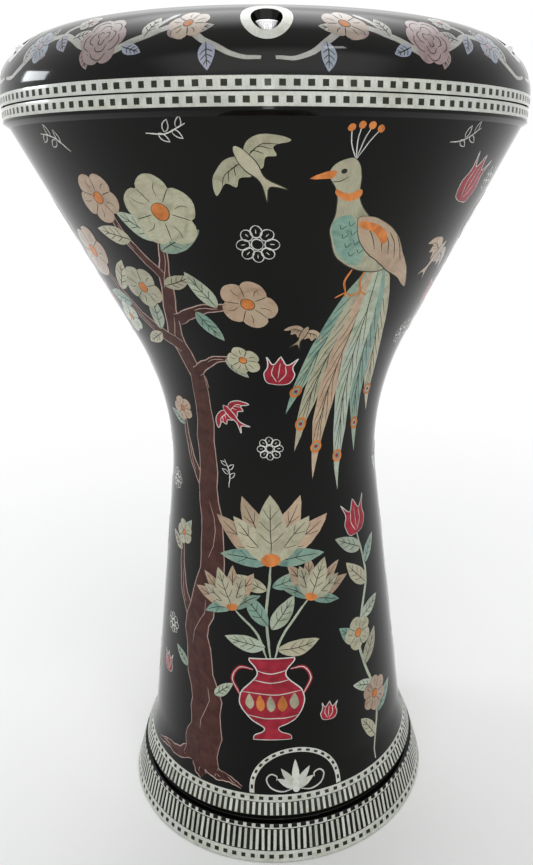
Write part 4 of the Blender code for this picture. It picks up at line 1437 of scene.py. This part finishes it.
def front_garden(work, facing):
    """Long-tailed bird, urn of lotus, flowering tree and small motifs, round one face of the goblet."""

    def pen(degrees, height, tilt=0.0, size=1.0, mirrored=False):
        placed = Pen(work, facing + math.radians(degrees), height * MM)
        return placed.at(0, tilt, size, mirrored)

    peacock(pen(25, 374, size=1.1))

    tree = pen(-37, 41.5)
    for root, widths in (([-2 + 16j, -16 + 7j, -30 + 5j, -44 + 1.5j], [12, 7, 4, 1.5]),
                         ([3 + 14j, 14 + 6j, 24 + 4.5j, 33 + 1.5j], [11, 7, 4, 1.5]),
                         ([0 + 12j, 2 + 5j, 6 + 1.5j], [14, 8, 5])):
        bough(tree, root, widths)
    bough(tree, [0 + 6j, 5 + 46j, -5 + 96j, 5 + 146j, 0 + 200j, 6 + 262j], [27, 23, 20, 17, 13, 9], 2)
    bough(tree, [-4 + 96j, -19 + 122j, -21 + 152j], [9, 6, 2.5], 1)
    bough(tree, [1 + 186j, -13 + 206j, -14 + 232j], [7, 4, 2], 1)
    leaves(tree, 4, (-21 + 144j, 58, 16, CREAM_PEARL), (-21 + 152j, -30, 16, GREEN_PEARL),
           (-14 + 226j, 62, 15, TEAL), (11 + 60j, -50, 16, GREEN_PEARL), (-12 + 70j, 52, 16, TEAL))
    for spot, radius, finish in ((-20 + 156j, 8, CREAM_PEARL), (-14 + 236j, 8, PEACH_PEARL)):
        blossom(tree.at(spot), radius, finish, layer=5)

    crown = pen(-32, 296)
    bough(crown, [0 - 4j, -4 + 30j, 4 + 64j, 14 + 96j], [10, 9, 6, 2.5], 1)
    bough(crown, [-3 + 22j, -26 + 40j, -46 + 70j], [8, 5, 2], 2)
    bough(crown, [1 + 40j, 20 + 48j, 38 + 50j], [7, 5, 2], 2)
    bough(crown, [3 + 66j, -12 + 86j, -14 + 104j], [5, 4, 2], 2)
    bough(crown, [0 + 6j, 14 + 16j, 28 + 16j], [6, 4, 2], 2)
    leaves(crown, 4, (8 + 80j, -64, 26, TEAL), (10 + 86j, 58, 24, GREEN_PEARL),
           (-14 + 32j, -10, 22, GREEN_PEARL), (-30 + 46j, 76, 22, TEAL), (-34 + 54j, -34, 22, CREAM_PEARL),
           (14 + 46j, -150, 20, TEAL), (26 + 49j, 26, 22, GREEN_PEARL), (-8 + 84j, 74, 22, CREAM_PEARL),
           (-14 + 30j, 120, 18, CREAM_PEARL), (2 + 60j, -70, 18, CREAM_PEARL),
           (20 + 17j, -140, 16, GREEN_PEARL), (-42 + 66j, 96, 18, GREEN_PEARL))
    for spot, radius, finish in ((16 + 100j, 18, CREAM_PEARL), (-48 + 76j, 15, PEACH_PEARL),
                                 (42 + 51j, 14, PEACH_PEARL), (-18 + 106j, 13, PEACH_PEARL),
                                 (-14 + 58j, 12, CREAM_PEARL), (30 + 16j, 9, CREAM_PEARL),
                                 (-40 + 36j, 10, GREEN_PEARL)):
        blossom(crown.at(spot, radius * 7), radius, finish, layer=6)

    urn(pen(-3, 76, size=1.24))
    bunch = pen(-3, 128)
    stem(bunch, [0, -2 + 30j, 1 + 62j], 1.6)
    stem(bunch, [-2, -9 + 18j, -22 + 32j], 1.4)
    stem(bunch, [2, 9 + 20j, 23 + 38j], 1.4)
    for spot, tilt, length, finish in ((-3 + 8j, 82, 26, GREEN_PEARL), (4 + 6j, -84, 26, CREAM_PEARL),
                                       (-1 + 22j, 38, 24, TEAL), (1 + 20j, -34, 24, GREEN_PEARL),
                                       (-2 + 44j, 70, 22, CREAM_PEARL), (1 + 46j, -72, 22, TEAL)):
        leaf(bunch.at(spot, tilt), length, length * 0.40, 0.1 * tilt / 6, finish, 1)
    lotus(bunch.at(-23 + 32j, 22), 27, 3)
    lotus(bunch.at(24 + 38j, -20), 27, 3)
    lotus(bunch.at(1 + 62j), 43, 6)

    vine = pen(45, 42)
    leafy(vine, [0, 7 + 40j, -5 + 85j, 6 + 126j, 1 + 157j], 2.0, 9, 22, (CREAM_PEARL, TEAL, GREEN_PEARL))
    blossom(vine.at(6 + 44j), 12, PEACH_PEARL, 6, layer=4)
    blossom(vine.at(-5 + 92j), 11, CREAM_PEARL, layer=4)
    tulip(vine.at(1 + 156j, 5), 21, layer=3)

    for turn, height, tilt, size in ((2, 296, -6, 18), (51, 388, -12, 23), (-62, 96, 4, 13),
                                     (22, 84, -8, 12)):
        tulip(pen(turn, height, tilt), size)
    swallow(pen(-3, 403, 38), 25)
    swallow(pen(53, 360, -30), 21, PEACH_PEARL)
    swallow(pen(10, 324, -24), 13, PEACH_PEARL)
    swallow(pen(-19, 276, 40), 16, CRIMSON, WHITE_LINE)
    for turn, height, radius in ((-3, 371, 9.5), (-2, 257, 7), (60, 318, 8), (-60, 132, 7), (-66, 226, 7),
                                 (63, 399, 7)):
        line_flower(pen(turn, height), radius)
    for turn, height, tilt, length in ((-42, 411, 66, 20), (-22, 417, -78, 18), (37, 414, -70, 20),
                                       (-24, 232, 6, 17)):
        sprig(pen(turn, height, tilt), length)


def side_garden(work, facing):
    """Climbing vine with roses, between the two faces."""
    low = Pen(work, facing, 42 * MM)
    leafy(low, [0, 8 + 44j, -8 + 92j, 7 + 140j, -4 + 188j, 4 + 236j, 0 + 272j], 2.0, 13, 22,
          (GREEN_PEARL, CREAM_PEARL, TEAL))
    for spot, radius, finish in ((8 + 46j, 12, CREAM_PEARL), (7 + 140j, 11, PEACH_PEARL),
                                 (-4 + 190j, 10, CREAM_PEARL)):
        rose(low.at(spot), radius, finish, 4)
    high = Pen(work, facing, 322 * MM)
    lotus(high.at(-8j), 34)
    for side in (-1, 1):
        stem(high, [4 * side + 4j, 14 * side + 34j, 27 * side + 58j], 1.4)
        leaf(high.at(complex(14 * side, 34), -64 * side), 26, 10, 0.0, GREEN_PEARL, 1, 4)
        leaf(high.at(complex(12 * side, 30), 20 * side), 24, 10, 0.0, TEAL, 1, 4)
        blossom(high.at(complex(28 * side, 64)), 14, PEACH_PEARL if side > 0 else CREAM_PEARL, 6, layer=3)
        tulip(high.at(complex(33 * side, 14), -14 * side), 17)
    line_flower(high.at(66j), 8)
    swallow(high.at(96j), 21)


def ring_scroll(work, facing, mirrored):
    """Rose, buds and leaves on a winding stem, over a sixth of the ring, with its ends under the bolts."""
    middle = Pen(work, facing, RING_BOTTOM).at(17j, mirrored=mirrored)
    wind = [-71 - 6j, -60 - 6j, -47 - 1j, -35 + 7j, -22 + 9j, -8 + 2j, 7 - 2j, 20 + 4j, 34 + 9j, 47 + 2j,
            60 - 5j, 70 - 6j]
    leafy(middle, wind, 2.9, 12, 10, (GREY_PEARL, ROSE_PEARL, GREY_PEARL, SKY_PEARL), GREY_PEARL, 0.58, 52,
          (0.17, 0.84))
    stem(middle, [-24 + 9j, -19 + 14j, -12 + 16j], 2.0, GREY_PEARL)
    stem(middle, [22 + 5j, 27 + 13j, 31 + 17j], 2.0, GREY_PEARL)
    rose(middle.at(2 + 5j, 20), 11.5, ROSE_PEARL, 3)
    blossom(middle.at(38 + 10j), 8.5, DUSTY_PEARL, layer=3)
    blossom(middle.at(-38 + 6j), 8.5, SKY_PEARL, 6, ROSE_PEARL, 3)
    blossom(middle.at(-12 + 17j), 5.5, GREY_PEARL, 5, CRIMSON, 3)


def arch_ornament(work):
    """Arch over the foot with a row of dots, and a palmette inside it."""
    spring = UPPER_STRIP_TOP + SEAT_GAP + ARCH_LEG
    outer, inner = ARCH_RADIUS / MM, (ARCH_RADIUS - ARCH_STRIP) / MM
    leg = (ARCH_LEG - SEAT_GAP) / MM * 1j
    angles = [180 * i / ARCH_STEPS for i in range(ARCH_STEPS + 1)]
    outside = [outer - leg, *[spoke(outer, a) for a in angles], -outer - leg]
    within = [-inner - leg, *[spoke(inner, a) for a in reversed(angles)], inner - leg]
    strip = Work(work.skin, "arch")
    Pen(strip, ARCH_TURN, spring, freehand=False).cut(WHITE_PEARL, outside + within, 2)
    strip.piece("arch_strip", WHITE_PEARL.name, "arch_frame")
    pen = Pen(work, ARCH_TURN, spring, freehand=False)
    for k in range(ARCH_DOTS):
        turn = 180 * (k + 0.5) / ARCH_DOTS
        middle = spoke((outer + inner) / 2, turn)
        along, across = 1j * spoke(ARCH_DOT_SPAN[0] / 2 / MM, turn), spoke(ARCH_DOT_SPAN[1] / 2 / MM, turn)
        pen.cut(ENGRAVING, [middle + across + along, middle - across + along, middle - across - along,
                            middle + across - along], 4)
    for angle, length in ((-62, 13), (62, 13), (-34, 16), (34, 16), (0, 19)):
        leaf(pen.at(2j, angle), length, 4.6, 0.0, WHITE_PEARL, 1, None)
    curl = spline([2 + 1.6j, 9 + 0.2j, 15.6 + 2.6j, 18 + 7.6j, 15.4 + 11.2j, 11.8 + 10j, 11.8 + 7j], 8)
    for path in (flipped(curl), curl):
        pen.line(WHITE_LINE, path, 0.9)
    pen.cut(WHITE_PEARL, circle(2.2, 1.6j), 3)


# Borders


def block_row():
    """Node tree: blocks in a row round the axis, leaning with the surface that they sit on."""
    make = Nodes(bpy.data.node_groups.new("block_row", "GeometryNodeTree"))
    face = make.tree.interface
    for way in ("OUTPUT", "INPUT"):
        face.new_socket("Geometry", in_out=way, socket_type="NodeSocketGeometry")
    kinds = {"Count": "Int", "Radius": "Float", "Height": "Float", "Lean": "Float", "First Turn": "Float",
             "Across": "Float", "Tall": "Float", "Deep": "Float", "Unevenness": "Float", "Sway": "Float",
             "Seed": "Int", "Finish": "Material"}
    for name, kind in kinds.items():
        face.new_socket(name, in_out="INPUT", socket_type="NodeSocket" + kind)

    def chance(low, high, seed):
        settings = {"data_type": "FLOAT"}
        return make.add("FunctionNodeRandomValue", settings, _2=low, _3=high, Seed=seed).outputs[1]

    def vector(x, y, z):
        return make.add("ShaderNodeCombineXYZ", X=x, Y=y, Z=z).outputs[0]

    given = make.add("NodeGroupInput").outputs
    index = make.add("GeometryNodeInputIndex").outputs[0]
    step = make.math("DIVIDE", 2 * math.pi, given["Count"])
    turn = make.math("ADD", make.math("MULTIPLY", index, step), given["First Turn"])
    place = vector(make.math("MULTIPLY", given["Radius"], make.math("COSINE", turn)),
                   make.math("MULTIPLY", given["Radius"], make.math("SINE", turn)), given["Height"])
    points = make.add("GeometryNodePoints", Count=given["Count"], Position=place)
    tone = chance(-1.0, 1.0, make.math("ADD", given["Seed"], TONE_SEED))
    toned = make.add("GeometryNodeStoreNamedAttribute", {"data_type": "FLOAT", "domain": "POINT"},
                     Geometry=points.outputs[0], Name="shade", Value=tone)
    block = make.add("GeometryNodeMeshCube", Size=vector(given["Deep"], given["Across"], given["Tall"]))
    sway = chance(make.math("MULTIPLY", given["Sway"], -1.0), given["Sway"],
                  make.math("ADD", given["Seed"], SWAY_SEED))
    width = chance(make.math("SUBTRACT", 1.0, given["Unevenness"]),
                   make.math("ADD", 1.0, given["Unevenness"]), given["Seed"])
    copies = make.add("GeometryNodeInstanceOnPoints", Points=toned.outputs[0], Instance=block.outputs[0],
                      Rotation=vector(sway, given["Lean"], turn), Scale=vector(1.0, width, 1.0))
    real = make.add("GeometryNodeRealizeInstances", Geometry=copies.outputs[0])
    dressed = make.add("GeometryNodeSetMaterial", Geometry=real.outputs[0], Material=given["Finish"])
    make.add("NodeGroupOutput", _0=dressed.outputs[0])
    return make.tree


BLOCK_ROW = block_row()


# Record slots of the borders' two finishes
BORDER_SLOTS = {WHITE_PEARL.name: "pearl", ENGRAVING.name: "lacquered_casting"}


def blocks(name, body, size, top, bottom, radii, finish, seed, first_turn=0.0):
    """A row of inlaid blocks between two heights, on a side with a radius at each of them."""
    count, across, tall = size
    values = {
        "Count": count, "Radius": (radii[0] + radii[1]) / 2 - (BLOCK_DEPTH / 2 - BLOCK_PROUD),
        "Height": (top + bottom) / 2, "Lean": math.atan2(radii[0] - radii[1], top - bottom),
        "First Turn": first_turn, "Across": across, "Tall": tall, "Deep": BLOCK_DEPTH,
        "Unevenness": BLOCK_UNEVENNESS, "Sway": BLOCK_SWAY, "Seed": seed, "Finish": finish,
    }
    row = mesh_object(name, bpy.data.meshes.new(name))
    made = row.modifiers.new("Row", "NODES")
    made.node_group = BLOCK_ROW
    sockets = BLOCK_ROW.interface.items_tree
    names = {socket.name: socket.identifier for socket in sockets if socket.in_out == "INPUT"}
    for key, value in values.items():
        made[names[key]] = value
    finished(settled(row), body, [finish], BORDER_SLOTS[finish.name])


def band(name, body, top, bottom, radii, finish, *nodes):
    """A turned strip between two heights: pearl stands up a little, and a dark ground is flush."""
    proud = BAND_PROUD if finish is WHITE_PEARL else 0.0
    outline = eased([
        (radii[0] - BAND_DEPTH, top), (radii[0] + proud, top), (radii[1] + proud, bottom),
        (radii[1] - BAND_DEPTH, bottom),
    ], BAND_EASE)
    strip = mesh_object(name, shaded(turned_mesh(name, outline)))
    finished(strip, body, [finish], BORDER_SLOTS[finish.name], *nodes)


def make_parting_borders():
    """Pearl strips with dark squares above and below the parting line, the squares half a step apart."""
    ring_side = RING_STRIP_TOP, RING_STRIP_BOTTOM, (RING_RADIUS, RING_RADIUS)
    band("ring_strip", "clamp_ring", *ring_side, WHITE_PEARL, "ring_border")
    blocks("ring_squares", "clamp_ring", RIM_SQUARES, *ring_side, ENGRAVING, 1)
    rim_side = RIM_STRIP_BOTTOM, (RIM_RADIUS, RIM_RADIUS)
    band("rim_strip", "goblet", FLANGE_HEIGHT + BORDER_GAP, *rim_side, WHITE_PEARL, "rim_border")
    half_step = math.pi / RIM_SQUARES[0]
    blocks("rim_squares", "goblet", RIM_SQUARES, FLANGE_HEIGHT, *rim_side, ENGRAVING, 2, half_step)


def make_foot_borders():
    """Strips, slats, dots and pips of the foot, from the top down."""

    def upper(name, make, size, top, bottom, *rest, gap=0.0):
        """A band or a row on the foot's upper face, whose lower end may stop short of the groove."""
        radii = (upper_foot(top)[0], upper_foot(bottom)[0])
        make(name, "goblet", *size, top, bottom + gap, radii, *rest)

    def lower(name, make, size, top, bottom, *rest):
        """A band or a row on the foot's lower face."""
        make(name, "goblet", *size, top, bottom, (lower_foot(top)[0], lower_foot(bottom)[0]), *rest)

    dots_bottom = UPPER_STRIP_TOP - FOOT_DOT_STRIP
    upper("foot_dot_strip", band, (), UPPER_STRIP_TOP, dots_bottom, WHITE_PEARL)
    upper("foot_dots", blocks, [FOOT_DOTS], UPPER_STRIP_TOP, dots_bottom, ENGRAVING, 3)
    upper("foot_slat_ground", band, (), dots_bottom, GROOVE_TOP, ENGRAVING, "foot_upper_border",
          gap=BORDER_GAP)
    upper("foot_slats", blocks, [FOOT_SLATS], dots_bottom, GROOVE_TOP, WHITE_PEARL, 4, gap=BORDER_GAP)
    lower("foot_pips", blocks, [FOOT_PIPS], LOWER_STRIP_TOP + FOOT_PIPS[2], LOWER_STRIP_TOP, WHITE_PEARL, 5)
    line_bottom = LOWER_STRIP_TOP - LOW_LINE
    low_dots_top = LOWER_STRIP_BOTTOM + LOW_DOT_STRIP
    lower("foot_white_line", band, (), LOWER_STRIP_TOP, line_bottom, WHITE_PEARL)
    lower("foot_low_ground", band, (), line_bottom, low_dots_top, ENGRAVING, "foot_lower_border")
    lower("foot_low_slats", blocks, [LOW_SLATS], line_bottom, low_dots_top, WHITE_PEARL, 6)
    lower("foot_low_dot_strip", band, (), low_dots_top, LOWER_STRIP_BOTTOM, WHITE_PEARL)
    lower("foot_low_dots", blocks, [LOW_DOTS], low_dots_top, LOWER_STRIP_BOTTOM, ENGRAVING, 7)


def make_collars():
    """Pearl collar round each counterbore, as wide on every side along the ring's shoulder."""
    steps, rings = COLLAR_STEPS, COLLAR_RINGS
    bore = COUNTERBORE_RADIUS + COLLAR_FIT
    edge = []
    for i in range(steps):
        angle = 2 * math.pi * i / steps
        across, out = bore * math.sin(angle), BOLT_CIRCLE + bore * math.cos(angle)
        way = RING_SKIN.way_out(math.hypot(across, out))
        edge.append(Vector((math.atan2(across, out) * BOLT_CIRCLE, way)))
    away = []
    for i in range(steps):
        along = edge[(i + 1) % steps] - edge[i - 1]
        away.append(Vector((along.y, -along.x)).normalized())
    layer = (rings + 1) * steps
    faces = []
    for i in range(steps):
        j = (i + 1) % steps
        for k in range(rings):
            a, b, c, d = k * steps + i, (k + 1) * steps + i, (k + 1) * steps + j, k * steps + j
            faces.append([a, b, c, d])
            faces.append([layer + d, layer + c, layer + b, layer + a])
        last = rings * steps
        faces.append([j, layer + j, layer + i, i])
        faces.append([last + i, layer + last + i, layer + last + j, last + j])
    for index in range(BOLT_COUNT):
        turn = FRONT + 2 * math.pi * index / BOLT_COUNT
        verts, normals = [], []
        for lift, sign in ((COLLAR_PROUD, 1), (-COLLAR_DEPTH, -1)):
            for k in range(rings + 1):
                for point, outward in zip(edge, away):
                    spot = point + outward * (COLLAR_STRIP * k / rings)
                    place, normal = RING_SKIN.spot(turn + spot.x / BOLT_CIRCLE, spot.y, lift)
                    verts.append(place)
                    normals.append(normal * sign)
        name = f"pearl_collar_{index + 1}"
        collar = mesh_object(name, curved_mesh(name, verts, faces, normals))
        finished(collar, "clamp_ring", [WHITE_PEARL], "pearl", f"bolt_collar_{index + 1}")


def make_inlay():
    """The garden round the goblet and the scroll round the ring."""
    garden = Work(GOBLET_SKIN, "goblet")
    for facing in (FRONT, BACK):
        front_garden(garden, facing)
        side_garden(garden, facing + math.radians(88))
    arch_ornament(garden)
    garden.finish_off()
    scroll = Work(RING_SKIN, "ring")
    for index in range(BOLT_COUNT):
        ring_scroll(scroll, FRONT + 2 * math.pi * (index + 0.5) / BOLT_COUNT, index % 2 == 0)
    scroll.finish_off()


# Studio


def make_floor():
    """Plain pale floor, that shows as white from far off as the photograph's surroundings do."""
    made = bmesh.new()
    bmesh.ops.create_circle(made, cap_ends=True, segments=96, radius=FLOOR_RADIUS)
    mesh = bpy.data.meshes.new("floor")
    made.to_mesh(mesh)
    made.free()
    floor = mesh_object("floor", mesh)
    make = Finish("pale_floor", Roughness=0.9, Specular_IOR_Level=0.0, Emission_Color=(1.0, 1.0, 1.0, 1.0))
    distance = make.add("ShaderNodeVectorMath", {"operation": "LENGTH"}, _0=make.place)
    far = make.spread(distance.outputs["Value"], 0.0, 1.0, FLOOR_NEAR, FLOOR_FAR)
    glow = make.math("MULTIPLY", far, make.watched())
    tone = make.blend(glow, (0.90, 0.90, 0.89, 1.0), (0.0, 0.0, 0.0, 1.0))
    mesh.materials.append(make.set(Base_Color=tone, Emission_Strength=glow))


def make_world():
    """White surroundings for the eye and for reflections, and a third of that level as light."""
    world = bpy.data.worlds.new("studio")
    bpy.context.scene.world = world
    world.use_nodes = True
    world.node_tree.nodes.clear()
    make = Nodes(world.node_tree)
    dim = make.add("ShaderNodeBackground", Color=(0.96, 0.98, 1.0, 1.0), Strength=0.30)
    white = make.add("ShaderNodeBackground", Color=(1.0, 1.0, 1.0, 1.0), Strength=1.0)
    mix = make.add("ShaderNodeMixShader", _0=make.watched(), _1=dim.outputs[0], _2=white.outputs[0])
    make.add("ShaderNodeOutputWorld", Surface=mix.outputs[0])


def softbox(name, spot, aim, width, height, watts, colour=(1.0, 1.0, 1.0), edge=0.0):
    """A rectangular soft lamp that looks at a point, and fades over a share of its sides."""
    lamp = bpy.data.lights.new(name, "AREA")
    lamp.shape = "RECTANGLE"
    lamp.size = width
    lamp.size_y = height
    lamp.energy = watts
    lamp.color = colour
    if edge:
        soften(lamp, edge)
    obj = bpy.data.objects.new(name, lamp)
    obj.location = spot
    obj.rotation_euler = (Vector(aim) - Vector(spot)).to_track_quat("-Z", "Y").to_euler()
    bpy.context.scene.collection.objects.link(obj)


def soften(lamp, edge):
    """Let a lamp fade towards its four edges, with its power unchanged."""
    lamp.use_nodes = True
    make = Nodes(lamp.node_tree)
    place = make.add("ShaderNodeTexCoord").outputs["UV"]
    split = make.add("ShaderNodeSeparateXYZ", _0=place)
    fades = []
    for axis in (0, 1):
        inwards = make.math("PINGPONG", split.outputs[axis], 0.5)
        fade = make.add("ShaderNodeMapRange", {"interpolation_type": "SMOOTHSTEP"}, Value=inwards,
                        From_Max=edge, To_Max=1 / (1 - edge))
        fades.append(fade.outputs["Result"])
    glow = next(node for node in make.tree.nodes if node.type == "EMISSION")
    make.feed(glow.inputs["Strength"], make.math("MULTIPLY", *fades))


def make_lights():
    """Broad panels above and in front, and small lamps whose glints show in the lacquer."""
    aim = (0.0, 0.0, 0.25)
    softbox("ceiling_panel", (0.0, 1.0, 2.4), (0.0, 1.0, 0.0), 3.4, 2.4, 33, edge=0.35)
    softbox("wall_panel", (0.0, 2.9, 2.6), (0.0, 0.0, 0.45), 3.6, 2.0, 8, edge=0.35)
    softbox("front_panel", (0.2, -2.8, 1.9), aim, 7.6, 3.4, 74, edge=0.3)
    softbox("side_window", (-1.57, 0.41, 0.83), (0.0, 0.0, 0.42), 0.5, 0.25, 5.5, (0.93, 0.97, 1.0))
    softbox("small_lamp", (0.75, -1.10, 2.05), (0.0, 0.0, 0.45), 0.25, 0.12, 1.6)
    softbox("upright_lamp", (0.0, -2.2, 0.33), (0.0, 0.0, 0.33), 0.15, 0.62, 2.3)


def make_camera():
    """Camera at the photograph's viewing angle."""
    camera = bpy.data.cameras.new("camera")
    camera.sensor_width = SENSOR
    camera.lens = FOCAL_PIXELS / PHOTO_HEIGHT * SENSOR
    camera.shift_x = (PHOTO_WIDTH / 2 - SIGHT_PIXEL) / PHOTO_HEIGHT
    obj = bpy.data.objects.new("camera", camera)
    obj.location = CAMERA_SPOT
    tilt = Matrix.Rotation(math.pi / 2 - CAMERA_DOWN, 4, "X") @ Matrix.Rotation(CAMERA_ROLL, 4, "Z")
    obj.rotation_euler = (Matrix.Rotation(CAMERA_YAW, 4, "Z") @ tilt).to_euler()
    bpy.context.scene.collection.objects.link(obj)
    bpy.context.scene.camera = obj


make_camera()
make_goblet()
make_clamp_ring()
make_head()
make_hoop()
make_bolts()
make_parting_borders()
make_foot_borders()
make_collars()
make_inlay()
make_floor()
make_world()
make_lights()
bpy.context.scene.view_settings.view_transform = "Standard"
